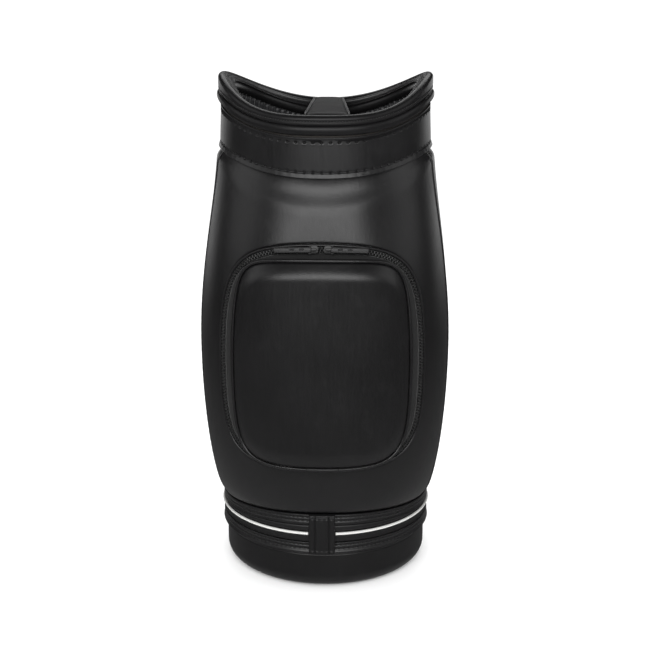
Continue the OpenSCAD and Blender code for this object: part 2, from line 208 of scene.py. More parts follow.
def face_rise(t):
    return LID_RISE - 7 * (t / FACE_LINE["half"]) ** 2


def on_face(i, a, h):
    t, z = offset_line(FACE_LINE, i, a)
    return place(t, body_r(t, z) + face_rise(t) + h, z)


def by_length(line, count, closed=True):
    """Outline parameters at which the polyline line(i) is cut into equal lengths."""
    i = np.linspace(line[0], line[1], 4001)
    points = line[2](i)
    run = np.concatenate([[0], np.cumsum(np.linalg.norm(np.diff(points, axis=0), axis=1))])
    return np.interp(np.linspace(0, run[-1], count, endpoint=not closed), run, i), run[-1]


# --- meshes ---
def quads(rows, cols, wrap_rows=False, wrap_cols=False):
    """Quads of a grid whose rows run along the sweep and whose columns run round the section."""
    i, j = np.meshgrid(np.arange(rows if wrap_rows else rows - 1),
                       np.arange(cols if wrap_cols else cols - 1), indexing="ij")
    k, m = (i + 1) % rows, (j + 1) % cols
    return np.stack([i * cols + j, k * cols + j, k * cols + m, i * cols + m], -1).reshape(-1, 4)


def outward(points, faces):
    """The faces of a closed piece, all turned round if its signed volume is negative."""
    fans = [points[f] for f in faces]
    volume = sum(np.sum(p[:, :1] * np.cross(p[:, 1:-1], p[:, 2:])) for p in fans)
    return [f[:, ::-1] for f in faces] if volume < 0 else faces


def piece(name, points, faces, finish, body="bag", stands_for=(), slot="black_leather"):
    """One mesh object that rides on a body, unless body is None, and stands for the named nodes."""
    mesh = bpy.data.meshes.new(name)
    points = np.asarray(points, float).reshape(-1, 3)
    faces = outward(points, [np.asarray(f) for f in faces])
    loops = np.concatenate([f.ravel() for f in faces])
    sizes = np.concatenate([np.full(len(f), f.shape[1]) for f in faces])
    mesh.vertices.add(len(points))
    mesh.vertices.foreach_set("co", (points * MM).ravel())
    mesh.loops.add(len(loops))
    mesh.loops.foreach_set("vertex_index", loops.astype(np.int32))
    mesh.polygons.add(len(sizes))
    mesh.polygons.foreach_set("loop_start", (np.cumsum(sizes) - sizes).astype(np.int32))
    mesh.polygons.foreach_set("use_smooth", np.ones(len(sizes), bool))
    mesh.update(calc_edges=True)
    mesh.validate()
    obj = bpy.data.objects.new(name, mesh)
    bpy.context.scene.collection.objects.link(obj)
    mesh.materials.append(finish)
    if body:
        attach(obj, body)
    if stands_for:
        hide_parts(*stands_for)
    return obj


def swept(points, wrap=False):
    """Faces of closed sections carried along a path, with flat ends unless the path closes."""
    rows, cols = points.shape[:2]
    faces = [quads(rows, cols, wrap, True)]
    if not wrap:
        ends = np.arange(cols)
        faces += [ends[None, ::1], (rows - 1) * cols + ends[None, ::-1]]
    return faces


def sweep(name, points, finish, wrap=False, **where):
    return piece(name, points, swept(points, wrap), finish, **where)


def capped(points, first, last):
    """Faces of closed sections closed by a point at either end; returns points and faces."""
    rows, cols = points.shape[:2]
    j = np.arange(cols)
    k = (j + 1) % cols
    a, b = rows * cols, rows * cols + 1
    top = (rows - 1) * cols
    faces = [quads(rows, cols, False, True), np.stack([np.full(cols, a), j, k], -1),
             np.stack([np.full(cols, b), top + k, top + j], -1)]
    return np.concatenate([points.reshape(-1, 3), [first], [last]]), faces


def ring(name, section, finish, steps=360, **where):
    """A closed ring: section(t) gives radii and heights, counter-clockwise, at angles t."""
    t = np.linspace(0, 360, steps, endpoint=False)[:, None]
    r, z = section(t)
    return sweep(name, place(t, r, z), finish, wrap=True, **where)


def joined(parts):
    """Many small meshes as one: parts is a list of (points, faces)."""
    points, faces, base = [], {}, 0
    for p, fs in parts:
        for f in outward(p, fs):
            faces.setdefault(f.shape[1], []).append(f + base)
        points.append(p)
        base += len(p)
    return np.concatenate(points), [np.concatenate(f) for f in faces.values()]


def fall(d):
    """A quarter circle: 1 at d = 0, falling to 0 at d = 1."""
    return 1 - np.sqrt(np.maximum(1 - (1 - np.clip(d, 0, 1)) ** 2, 0))


def rolled(x, height, edge):
    """How far an edge rolls in: a quarter circle of radius edge at both ends of 0..height."""
    return edge * fall(np.minimum(x, height - x) / edge)


def crowded(n):
    """n values from 0 to 1 that crowd towards both ends."""
    s = np.linspace(0, 1, n)
    return 0.35 * s + 0.65 * (0.5 - 0.5 * np.cos(np.pi * s))


def clad_ring(name, low, high, back, face, finish, rows=40, steps=720, edge=0.8, **where):
    """A leather ring from low(t) to high(t): face(t, x) is its radius x above low, back its inner radius."""
    def section(t):
        lo, hi = low(t) + 0 * t, high(t) + 0 * t
        x = crowded(rows)[None] * (hi - lo)
        r = face(t, x) - rolled(x, hi - lo, edge)
        r = np.concatenate([r, back + 0 * hi, back + 0 * lo], 1)
        return r, np.concatenate([lo + x, hi, lo], 1)
    return ring(name, section, finish, steps=steps, **where)


def blocks(points):
    """Faces of many small closed blocks: points are (count, rows, columns, 3), each like a short sweep."""
    count, rows, cols = points.shape[:3]
    first = (np.arange(count) * rows * cols)[:, None, None]
    return [(f[None] + first).reshape(-1, f.shape[1]) for f in swept(points[0])]


def stitches(name, centre, along, normal, length=3.2, thick=0.34, sink=0.12):
    """Short threads: rounded rods laid along the seam at each centre, sunk at both ends."""
    along, normal = (v / np.linalg.norm(v, axis=-1, keepdims=True) for v in (along, normal))
    side = np.cross(normal, along)
    side /= np.linalg.norm(side, axis=-1, keepdims=True)
    x = np.array([-0.5, -0.42, -0.2, 0.2, 0.42, 0.5])
    fat = thick * np.array([0.3, 0.85, 1.0, 1.0, 0.85, 0.3])[:, None]
    lift = (thick * (0.88 * np.cos(np.pi * x) ** 0.5 - 0.4) - sink)[:, None]
    a = circle(6)
    rod = sum(v[:, None, None] * amount[None, :, :, None] for v, amount in (
        (along, (x * length)[:, None] + 0 * a), (side, fat * np.cos(a)), (normal, fat * np.sin(a) + lift)))
    rod = rod + centre[:, None, None]
    return piece(name, rod, blocks(rod), finish("thread"))


def ring_stitches(name, radius, height, pitch, skip=0.0, **kw):
    """A row of stitches round the bag at a radius and height(t), with skip degrees bare on either side of
    the front."""
    count = int(round(2 * np.pi * radius / pitch))
    t = np.arange(count) * 360.0 / count
    t = t[np.minimum(t, 360 - t) >= skip]
    here, there = place(t, radius, height(t)), place(t + 0.5, radius, height(t + 0.5))
    return stitches(name, here, there - here, place(t, 1.0, 0.0), **kw)


def waves(t, z, seed):
    """Slow unevenness of padded leather: three sine products, about +-1."""
    a, b, c = np.random.default_rng(seed).uniform(0, 360, 3)
    s = lambda v: np.sin(np.radians(v))
    return (0.5 * s(3.1 * t + a) * s(1.9 * z + b) + 0.3 * s(5.3 * t - 1.3 * z + c)
            + 0.2 * s(2.2 * z + 4.1 * t + a + b))


# --- finishes ---
class Value:
    """A shader socket on which Python arithmetic adds Math nodes."""

    def __init__(self, tree, socket):
        self.tree, self.socket = tree, socket

    def math(self, operation, *inputs):
        node = self.tree.nodes.new("ShaderNodeMath")
        node.operation = operation
        for slot, item in zip(node.inputs, inputs):
            feed(self.tree, slot, item)
        return Value(self.tree, node.outputs[0])

    def __add__(self, other):
        return self.math("ADD", self, other)

    def __sub__(self, other):
        return self.math("SUBTRACT", self, other)

    def __rsub__(self, other):
        return self.math("SUBTRACT", other, self)

    def __mul__(self, other):
        return self.math("MULTIPLY", self, other)

    __radd__, __rmul__ = __add__, __mul__

    def limited(self, low, high):
        return self.math("MAXIMUM", self.math("MINIMUM", self, high), low)


def feed(tree, slot, item):
    if isinstance(item, Value):
        tree.links.new(item.socket, slot)
    else:
        slot.default_value = item


class Shading:
    """A node tree under construction; node() adds any node."""

    def __init__(self, tree):
        self.tree = tree

    def node(self, kind, settings=None, values=None, output=0):
        node = self.tree.nodes.new("ShaderNode" + kind)
        for key, value in (settings or {}).items():
            if key == "stops":
                ramp = node.color_ramp.elements
                for k, (position, colour) in enumerate(value):
                    stop = ramp[k] if k < len(ramp) else ramp.new(position)
                    stop.position, stop.color = position, colour
            else:
                setattr(node, key, value)
        for key, value in (values or {}).items():
            feed(self.tree, node.inputs[key], value)
        return Value(self.tree, node.outputs[output]) if len(node.outputs) else node


class Finish(Shading):
    """A material under construction."""

    def __init__(self, name):
        self.material = bpy.data.materials.new(name)
        self.material.use_nodes = True
        super().__init__(self.material.node_tree)
        self.tree.nodes.clear()

    def spot(self, scale):
        """Object coordinates in metres, stretched by scale."""
        where = self.node("TexCoord", output=3)
        return self.node("Mapping", values={"Vector": where, "Scale": scale})

    def noise(self, scale, detail=2.0, rough=0.5, stretch=(1, 1, 1)):
        return self.node("TexNoise", values={"Vector": self.spot(stretch), "Scale": scale,
                                             "Detail": detail, "Roughness": rough})

    def cells(self, scale):
        return self.node("TexVoronoi", {"feature": "SMOOTH_F1"},
                         {"Vector": self.spot((1, 1, 1)), "Scale": scale, "Smoothness": 0.4})

    def mix(self, factor, a, b):
        return self.node("Mix", {"data_type": "RGBA"}, {0: factor, 6: a, 7: b}, output=2)

    def bump(self, height, distance, strength=1.0, under=None):
        values = {"Height": height, "Distance": distance, "Strength": strength}
        if under:
            values["Normal"] = under
        return self.node("Bump", values=values)

    def done(self, **sockets):
        shader = self.tree.nodes.new("ShaderNodeBsdfPrincipled")
        for key, value in sockets.items():
            feed(self.tree, shader.inputs[key.replace("_", " ")], value)
        out = self.tree.nodes.new("ShaderNodeOutputMaterial")
        self.tree.links.new(shader.outputs[0], out.inputs[0])
        return self.material


def grey(v):
    return (v, v, v)


def shade(colour, factor):
    """The colour's first three numbers times factor, with full opacity."""
    return tuple(c * factor for c in colour[:3]) + (1.0,)


def leather(name, colour, roughness, grain=1.0, drawn=1.0, tone=1.0, shine=0.5):
    """Smooth finished leather: drawn upright streaks, fine pores, cloudy gloss and lighter rubbed spots."""
    f = Finish(name)
    streak = f.noise(1.0, 3.0, 0.6, stretch=(560, 560, 42))
    fine = f.noise(1.0, 2.0, 0.5, stretch=(2600, 2600, 260))
    cloud = f.noise(16.0, 3.0, 0.55)
    pores = f.cells(1500.0)
    rubbed = (f.noise(55.0, 4.0, 0.65) - 0.56).limited(0.0, 0.1) * 5.0
    worn = (cloud * 0.7 + streak * 0.5 + rubbed * 0.5 - 0.35).limited(0.0, 1.0)
    base = f.mix(worn, shade(colour, tone * 0.82), shade(colour, tone * 1.35))
    rough = roughness + (streak - 0.5) * 0.16 * drawn + (cloud - 0.5) * 0.14 + rubbed * 0.06
    low = f.bump(pores, 0.00006 * grain, 0.5)
    mid = f.bump(streak, 0.00012 * drawn, 0.6, under=low)
    normal = f.bump(fine, 0.00004, 0.5, under=mid)
    return f.done(Base_Color=base, Roughness=rough.limited(0.15, 0.9), Normal=normal,
                  Specular_IOR_Level=shine)


def cloth(name, colour, roughness, thread=0.0005, sheen=0.3):
    """Woven cloth: two crossed sets of threads as a fine bump, with a soft sheen."""
    f = Finish(name)
    warp, weft = (f.node("TexWave", {"bands_direction": way}, {
        "Vector": f.spot((1, 1, 1)), "Scale": 1 / (6.28 * thread), "Distortion": 0.6, "Detail": 1.0},
        output=1) for way in "ZX")
    cloud = f.noise(40.0, 3.0)
    height = (warp + weft) * 0.35 + cloud * 0.3
    tone = (cloud * 0.7 + (warp + weft) * 0.2 - 0.1).limited(0.0, 1.0)
    base = f.mix(tone, shade(colour, 0.75), shade(colour, 1.3))
    normal = f.bump(height, 0.00012, 0.6)
    rough = roughness + (cloud - 0.5) * 0.15
    return f.done(Base_Color=base, Roughness=rough, Normal=normal, Sheen_Weight=sheen,
                  Sheen_Roughness=0.4)


def moulded(name, colour, roughness, metallic=0.0, speckle=0.08, coat=0.0):
    """Moulded or painted trim: faint mottling of colour and gloss over a very fine bump."""
    f = Finish(name)
    cloud = f.noise(120.0, 3.0)
    fine = f.noise(1800.0, 2.0)
    base = f.mix(cloud, shade(colour, 1 - speckle), shade(colour, 1))
    return f.done(Base_Color=base, Roughness=roughness + (cloud - 0.5) * 0.12, Metallic=metallic,
                  Normal=f.bump(fine, 0.00003, 0.5), Coat_Weight=coat, Coat_Roughness=0.2)


_finishes = {}


def finish(kind):
    """The named finish of this bag, made once."""
    if kind not in _finishes:
        look = bpy.context.scene.golf_bag_look
        skin, rough = look.leather_colour, look.leather_roughness
        maker, name, colour, roughness, detail = {
            "leather": (leather, "bag_leather", skin, rough, {}),
            "lid": (leather, "lid_leather", skin, rough + 0.02, dict(drawn=0.9, tone=0.95)),
            "rim": (leather, "rim_leather_finish", skin, rough + 0.02,
                    dict(grain=1.3, drawn=0.3, shine=0.24)),
            "strap": (leather, "strap_leather", skin, rough + 0.1,
                      dict(grain=1.3, drawn=0.4, tone=0.85, shine=0.06)),
            "trim": (leather, "trim_leather", skin, rough + 0.04, dict(grain=1.6, drawn=0.4)),
            "piping": (leather, "piping_leather", skin, rough - 0.04, dict(grain=1.3, drawn=0.3, tone=1.1)),
            "channel": (leather, "channel_leather", skin, rough + 0.1, dict(grain=0.6, drawn=0.4, tone=1.05)),
            "facing": (leather, "facing_leather", skin, rough + 0.05, dict(grain=1.4, drawn=0.2, tone=0.85)),
            "thread": (cloth, "black_thread", grey(0.02), 0.45, dict(thread=0.0003, sheen=0.1)),
            "lining": (cloth, "lining_satin", look.lining_colour, 0.42, dict(sheen=0.5)),
            "tape": (cloth, "zipper_tape", grey(0.012), 0.75, dict(thread=0.0006, sheen=0.15)),
            "teeth": (moulded, "zipper_teeth", grey(0.022), 0.34, dict(coat=0.2)),
            "metal": (moulded, "painted_metal", grey(0.03), 0.34, dict(metallic=0.7)),
            "white": (moulded, "white_vinyl", look.piping_colour, 0.3, dict(speckle=0.04, coat=0.3)),
            "board": (moulded, "tube_board", (0.05, 0.045, 0.04), 0.8, dict(speckle=0.3)),
        }[kind]
        _finishes[kind] = maker(name, colour, roughness, **detail)
    return _finishes[kind]


# --- base ---
def build_cup():
    """Lathed cup: flat sole, rolled lower edge, straight wall, turned top edge, neck and inner floor."""
    fillet, neck, wall_in, floor = 13.0, CUP_R - 2, CUP_R - 4.7, 4
    a = np.radians(np.linspace(-90, 0, 24))
    outer = np.stack([CUP_R - fillet + fillet * np.cos(a), fillet + fillet * np.sin(a)], -1)
    sole = np.array([[20.0, 0], [60, 0], [78, 0], [79.4, 0.1], [80, 0.7], [80.6, 0.1], [82, 0]])
    wall = np.stack([np.full(14, CUP_R), np.linspace(fillet + 2, CUP_H - 2.6, 14)], -1)
    lip = np.radians(np.linspace(-90, 90, 9))
    turned = np.stack([CUP_R - 0.2 + 1.1 * np.cos(lip), CUP_H - 1.3 + 1.15 * np.sin(lip)], -1)
    rest = np.array([[neck, CUP_H], [neck, 69], [wall_in + 1, 69.4], [wall_in, 68.6],
                     [wall_in, floor + 1], [wall_in - 1, floor], [20, floor]])
    line = np.concatenate([sole, outer, wall, turned, rest])
    t = np.linspace(0, -360, 288, endpoint=False)[None]
    points, faces = capped(place(t, line[:, :1], line[:, 1:]), [0, 0, 0], [0, 0, floor])
    piece("cup", points, faces, finish("leather"), stands_for=["base_cup"])


BASE_PITCH, TAB_SKIP = 4.6, 7.4
BAND_BACK, BAND_FACE = CUP_R - 1.7, CUP_R + 3.0
LOWER_BAND = CUP_H + 0.3, 48.3
CHANNEL_FLAT, CHANNEL_ROLLED_LOW = (48.7, 55.6), 59.5
PIPING_R, PIPING_Z = CUP_R + 3.3, 57.5


def dash(t, x, row, pitch):
    """Dent of a band's stitch row at height row: a groove that is deepest where the needle went in."""
    hole = bump(from_hole(np.radians(t) * BAND_FACE, pitch), 0.7)
    return 0.75 * bump(x - row, 0.5) * (0.45 + 0.9 * hole)


def band_stitches(name, rows, height, pitch):
    """The threads of a band's rows: height(t, row) is where each lies."""
    for k, row in enumerate(rows):
        ring_stitches(f"{name}_stitches_{k}", BAND_FACE - 0.25, lambda t: height(t, row), pitch,
                      skip=TAB_SKIP, length=pitch * 0.72, thick=0.3)


def whole_pitch(r, pitch):
    """The pitch nearest to the asked one that fits the ring a whole number of times."""
    return 2 * np.pi * r / round(2 * np.pi * r / pitch)


def build_lower_band():
    """Stitched band over the cup: a narrow ridge, two stitched valleys and a turned top edge."""
    low, high = LOWER_BAND
    p = whole_pitch(BAND_FACE, BASE_PITCH)
    rows = (4.6, 8.4)

    def face(t, x):
        r = BAND_FACE + 0.9 * bump(x - 1.4, 0.9)
        r = r + 0.35 * bump(x - 6.5, 1.1) + 0.3 * bump(x - 10.2, 0.7)
        return r - sum(dash(t, x, row, p) for row in rows) + 0.08 * waves(4 * t, 9 * x, 3)
    clad_ring("lower_band_leather", lambda t: low, lambda t: high, BAND_BACK, face, finish("trim"),
              rows=64, steps=1080, stands_for=["lower_band"])
    band_stitches("lower_band", rows, lambda t, row: low + row + 0 * t, p)


def upper_low(t):
    return 66 - 4 * sin2(t)


def upper_high(t):
    return foot_z(t) - 0.4


def build_upper_band():
    """Stitched band whose top and stitch rows follow the foot of the body."""
    p = whole_pitch(BAND_FACE, BASE_PITCH)
    rows = (2.9, 6.3)

    def face(t, x):
        down = upper_high(t) - upper_low(t) - x
        r = BAND_FACE + 0.5 * bump(down - 1.1, 0.8)
        r = r + 0.3 * bump(down - 4.6, 0.9) + 0.5 * bump(down - 8.6, 1.0)
        return r - sum(dash(t, down, row, p) for row in rows) + 0.08 * waves(4 * t, 9 * x, 5)
    clad_ring("upper_band_leather", upper_low, upper_high, BAND_BACK, face, finish("trim"),
              rows=64, steps=1080, stands_for=["upper_band"])
    band_stitches("upper_band", rows, lambda t, row: upper_high(t) - row, p)


def build_channel():
    """The plain channel round the white piping: a flat band below and a rolled one above."""
    def flat(t, x):
        return CUP_R + 2.5 - 0.25 * bump(x - 3.4, 1.6) + 0.03 * waves(t, x, 7)

    def round_face(t, x):
        return CUP_R + 3.4 - 0.02 * (x - 3) ** 2 + 0.03 * waves(t, x, 8)
    low, high = CHANNEL_FLAT
    alike = dict(finish=finish("channel"), rows=20, steps=360, slot="black_trim")
    clad_ring("channel_flat", lambda t: low, lambda t: high, BAND_BACK, flat, edge=1.0,
              stands_for=["channel_band"], **alike)
    clad_ring("channel_rolled", lambda t: CHANNEL_ROLLED_LOW, lambda t: upper_low(t) - 0.3, BAND_BACK,
              round_face, edge=1.7, stands_for=["channel_roll"], **alike)


def build_white_piping():
    """The white cord, round in section and open where the keeper tab crosses it."""
    half = np.degrees(span("base_tab")[1][0] / CUP_R) + 0.05
    t = np.linspace(half, 360 - half, 700)[:, None]
    low, high = span("white_piping")
    radius, a = (high[2] - low[2]) / 2 - 0.1, circle(16)
    points = place(t, PIPING_R + radius * np.cos(a), PIPING_Z + radius * np.sin(a))
    sweep("white_cord", points, finish("white"), stands_for=["white_piping"], slot="white_piping")


def build_tab():
    """Keeper tab: a curved leather strip with two folds, rolled edges and a stitch row at either end."""
    half_w, low, tall = span("base_tab")[1][0], TAB_LOW - 0.6, TAB_HIGH - TAB_LOW + 0.8
    base, fold, pitch = CUP_R + 3.5, 6.6, 4.4
    stitch_rows = TAB_LOW + 2.9, TAB_HIGH - 3.4
    x, z = np.meshgrid((crowded(72) * 2 - 1) * half_w, low + crowded(90) * tall, indexing="xy")
    height = (1.7 - 0.9 * bump(np.abs(x) - fold, 0.4) + 0.18 * bump(np.abs(x) - 9.4, 1.5)
              + 0.25 * smooth((fold - np.abs(x)) / 1.5)
              - rolled(x + half_w, 2 * half_w, 1.3) - rolled(z - low, tall, 1.1))
    hole = bump(from_hole(x, pitch), 0.6)
    for row in stitch_rows:
        height = height - 0.32 * bump(z - row, 0.5) * (0.6 + 0.8 * hole)
    height = height - 0.3 * bump(z - (TAB_HIGH - 1.5), 0.3)
    turn = lambda x: np.degrees(x / (base + 1))
    shell("keeper_tab", place(turn(x), base + height, z), place(turn(x), base - 0.3, z), False,
          finish=finish("trim"), stands_for=["base_tab"])
    t = turn(np.arange(-2, 3) * pitch)
    for k, row in enumerate(stitch_rows):
        stitches(f"tab_stitches_{k}", place(t, base + 1.55, row), place(t + 90, 1.0, 0.0),
                 place(t, 1.0, 0.0), length=3.2, thick=0.3)


# --- body ---
def skin(t, z):
    """The padded panels' outer surface: the body's radius, soft unevenness, gathers under the cuff and
    a dip to either side of the front's middle, all fading out at the cuff and the foot."""
    below = collar_low(t) - z
    above = z - foot_z(t)
    soft = smooth(below / 45) * smooth(above / 25)
    gather = 0.03 * np.exp(-np.maximum(below, 0) / 7) * np.sin(np.radians(t) * 99 * 2 * np.pi / 7.75)
    dip = -1.3 * bump(t - 33, 8) * bump(z - 350, 22) - 0.5 * bump(t + 38, 9) * bump(z - 348, 22)
    uneven = 0.35 * soft * waves(t, z, 21)
    return body_r(t, z) + uneven + gather * smooth(below / 2) + dip * smooth(below / 25)


def seam_roll(distance, depth=1.5, reach=3.2):
    """How far a panel's edge turns in at a seam."""
    return depth * fall(distance / reach)


def panel_top(t):
    return collar_low(t) + 6


def shell(name, outer, inner, closed_rows, **where):
    """A sheet with thickness: two grids joined round their edges; rows may close on themselves."""
    rows, cols = outer.shape[:2]
    n = rows * cols
    grid = quads(rows, cols, closed_rows, False)
    if closed_rows:
        i = np.arange(rows)
        k = (i + 1) % rows
        first = np.stack([i * cols, i * cols + n, k * cols + n, k * cols], -1)
        e = cols - 1
        last = np.stack([k * cols + e, k * cols + e + n, i * cols + e + n, i * cols + e], -1)
        edges = [first, last]
    else:
        rim = np.concatenate([np.arange(cols), np.arange(1, rows) * cols + cols - 1,
                              (rows - 1) * cols + np.arange(cols - 2, -1, -1),
                              np.arange(rows - 2, 0, -1) * cols])
        nxt = np.roll(rim, -1)
        edges = [np.stack([rim, nxt, nxt + n, rim + n], -1)]
    faces = [grid, grid[:, ::-1] + n] + edges
    points = np.concatenate([outer.reshape(-1, 3), inner.reshape(-1, 3)])
    return piece(name, points, faces, **where)


def build_front_panel():
    """The front, from the pocket's opening out to its seams, cuff and foot: rays from the outline to a
    rectangle."""
    i, _ = by_length((0.0, OUTLINE_N, lambda i: on_body(ZIP_LINE, i, OPENING, 0.0)), 640)
    side = np.array([[1, 0], [1, 1], [0, 1], [-1, 1], [-1, 0], [-1, -1], [0, -1], [1, -1], [1, 0]], float)
    q = i / 6
    sx = np.interp(q, np.arange(9), side[:, 0])
    sz = np.interp(q, np.arange(9), side[:, 1])
    width = FRONT_SEAM - SEAM_GAP
    t_edge = width * sx
    z_edge = np.where(sz >= 0, CHART_MID + (panel_top(t_edge) - CHART_MID) * sz,
                      CHART_MID + (CHART_MID - foot_z(t_edge) - 0.2) * sz)
    t0, z0 = offset_line(ZIP_LINE, i, OPENING)
    f = crowded(74)[None]
    t = t0[:, None] + (t_edge - t0)[:, None] * f
    z = z0[:, None] + (z_edge - z0)[:, None] * f
    r = skin(t, z)
    from_seam = (width - np.abs(t)) * DEG_MM
    from_opening = np.hypot((t - t0[:, None]) * DEG_MM, z - z0[:, None])
    from_foot = z - foot_z(t) - 0.2
    inset = (seam_roll(from_seam, 1.3) + seam_roll(from_opening, 0.9, 2.2) + seam_roll(from_foot, 1.6, 3.5))
    shell("front_leather", place(t, r - inset, z), place(t, r - PANEL_THICK, z), True,
          finish=finish("leather"), stands_for=["front_panel"])


def build_panel(name, start, stop, cols, node):
    """A side or rear panel between two seams: an even grid of angle and height."""
    u = crowded(cols)
    t = (start + (stop - start) * u)[:, None]
    v = crowded(150)[None]
    z = foot_z(t) + 0.2 + (panel_top(t) - foot_z(t) - 0.2) * v
    t = t + 0 * z
    r = skin(t, z)
    edge = np.minimum(np.abs(t - start), np.abs(t - stop)) * 1.95
    inset = seam_roll(edge, 1.3) + seam_roll(z - foot_z(t) - 0.2, 1.6, 3.5)
    pucker = 0.12 * np.exp(-edge / 3) * np.sin(2 * np.pi * z / 6.5)
    shell(name, place(t, r - inset + pucker, z), place(t, r - PANEL_THICK, z), False,
          finish=finish("leather"), stands_for=[node])


def build_welt(name, t0, node):
    """Piped seam: a cord down the seam from the cuff to the foot, sitting in the panels' rolled edges."""
    z = np.linspace(foot_z(t0) + 0.4, collar_low(t0) - 0.3, 240)[:, None]
    a = circle(14)
    r = body_r(t0 + 0 * z, z) - 0.35
    cord = 1.25 * (1 + 0.03 * np.sin(2 * np.pi * z / 6.5))
    points = place(t0 + np.degrees(cord * np.sin(a) / r), r + cord * np.cos(a), z + 0 * a)
    sweep(name, points, finish("piping"), stands_for=[node])


def build_body():
    """The four panels and the four piped seams between them."""
    build_front_panel()
    for side, start, stop, cols in (("right", FRONT_SEAM, REAR_SEAM, 110),
                                    ("left", 360 - REAR_SEAM, 360 - FRONT_SEAM, 110),
                                    ("rear", REAR_SEAM, 360 - REAR_SEAM, 150)):
        build_panel(f"{side}_leather", start + SEAM_GAP, stop - SEAM_GAP, cols, f"{side}_panel")
    for end, angle in (("front", FRONT_SEAM), ("rear", REAR_SEAM)):
        for side, sign in (("right", 1), ("left", -1)):
            build_welt(f"{end}_welt_{side}", sign * angle, f"{end}_seam_{side}")


# --- cuff ---
CUFF_PITCH = 7.75
TOP_ROW, LOW_ROW, HOLE_DEEP = 4.6, 4.5, 1.3


def build_collar():
    """Cuff band: sewn near both edges with wide stitches. Each needle hole is a pit with a swelling under it,
    and the strip below the lower row stands out and scallops between the holes."""
    p = whole_pitch(BODY_R, CUFF_PITCH)

    def face(t, x):
        down = collar_top(t) - collar_low(t) - x
        off = from_hole(np.radians(t) * BODY_R, p)
        pit = bump(off, 0.62)
        strip = smooth((LOW_ROW + 0.3 - x) / 0.8)
        r = BODY_R + 0.3 - 0.04 * x + 0.3 * bump(down - 0.8, 0.7)
        r = r - HOLE_DEEP * pit * bump(down - TOP_ROW, 0.55)
        r = r + 0.12 * bump(off, 1.1) * bump(down - TOP_ROW - 1.6, 0.6)
        r = r - 0.4 * bump(x - LOW_ROW - 0.6, 0.4) - HOLE_DEEP * pit * bump(x - LOW_ROW - 0.9, 0.6)
        r = r + strip * (0.15 + 1.35 * (1 - x / LOW_ROW) - 0.05 * np.cos(2 * np.pi * off / p))
        return r + 0.12 * waves(t, x * 3, 31)
    clad_ring("cuff_band", collar_low, collar_top, SKIN_R + 1.2, face, finish("leather"), rows=96, steps=1000,
              edge=0.8, stands_for=["collar_band"])
    ring_stitches("cuff_stitches_top", BODY_R - 0.55, lambda t: collar_top(t) - TOP_ROW, p,
                  length=1.3, thick=0.4, sink=0.75)
    ring_stitches("cuff_stitches_low", BODY_R - 0.45, lambda t: collar_low(t) + LOW_ROW, p,
                  length=1.3, thick=0.4, sink=0.7)


GATHER_PITCH = 6.2
BEAD_R, BEAD_DEEP, BEAD_TALL = 99.1, 2.3, 4.0
INNER_R, INNER_DEEP, INNER_TALL = 87.6, 3.3, 4.6
EDGE_R = 4.2
ROLL_OUT = ROLL_CENTRE + ROLL_R - 0.1
EDGE_CENTRE = ROLL_OUT - EDGE_R
EDGE_TURN = 158
FACE_FOOT, RIM_BACK = 84.4, 90.6
RIM_PITCH = 2 * np.pi * BODY_R / 240
RIM_ROW = 3.4


def gathers(t, radius):
    """Gathers at a radius, GATHER_PITCH apart on average and unevenly spaced, from -1 to 1."""
    uneven = 1.2 * np.sin(np.radians(7 * t))
    return np.sin(np.radians(t) * radius * 2 * np.pi / GATHER_PITCH + uneven)


def flank_foot(t):
    """Height at which the rim roll's outer flank starts, straight over the bead."""
    return np.minimum(bead_z(t) + 4.3, rim_z(t) - 0.2)


def rim_roll(t):
    """Section of the rim: up its flank, round the edge in an arc of EDGE_R and down its sloping inner face,
    with a stitched groove in the flank and two in the face."""
    z0 = rim_z(t)
    top, flank = z0 + ROLL_R - EDGE_R, flank_foot(t)
    b = np.radians(np.linspace(0, EDGE_TURN, 30))[None]
    arc_r, arc_z = EDGE_CENTRE + EDGE_R * np.cos(b), top + EDGE_R * np.sin(b)
    v = np.linspace(0.04, 1, 34)[None]
    face_r = arc_r[:, -1:] + (FACE_FOOT - arc_r[:, -1:]) * v ** 0.9 - 0.8 * np.sin(np.pi * v)
    face_z = arc_z[:, -1:] + (z0 - 0.6 - arc_z[:, -1:]) * v
    u = np.linspace(0, 0.97, 24)[None]
    flank_z = flank + (top - flank) * u
    hole = 0.5 + 0.5 * np.cos(2 * np.pi * ((np.radians(t) * BODY_R / RIM_PITCH) % 1.0))
    groove = (0.25 + 0.45 * hole) * bump(flank_z - flank - RIM_ROW, 0.5)
    flank_r = ROLL_OUT - 0.5 * (1 - smooth(u * 5)) - groove
    face_r = face_r + (0.2 + 0.35 * hole) * (bump(v - 0.22, 0.05) + bump(v - 0.86, 0.05))
    back, foot = RIM_BACK + 0 * z0, SKIN_R - 0.5 + 0 * z0
    r = np.concatenate([back, foot, foot, flank_r, arc_r + 0 * z0, face_r, back], 1)
    z = np.concatenate([z0 - 8.1, z0 - 8.1, flank - 0.02, flank_z, arc_z, face_z, z0 - 1.3], 1)
    return r, z


def inner_roll(t):
    """Section of the padded inner roll: an upright oval whose lower inner side is gathered."""
    b = np.radians(np.linspace(0, 360, 40, endpoint=False))[None]
    full = 0.5 + 0.5 * gathers(t, 87)
    low = bump(np.degrees(b) - 236, 26)
    dr = (INNER_DEEP + 0.55 * low * full) * np.cos(b)
    dz = INNER_TALL * np.sin(b) + 0.9 * low * (full - 0.5)
    return INNER_R + dr, rim_z(t) - 5.2 + dz


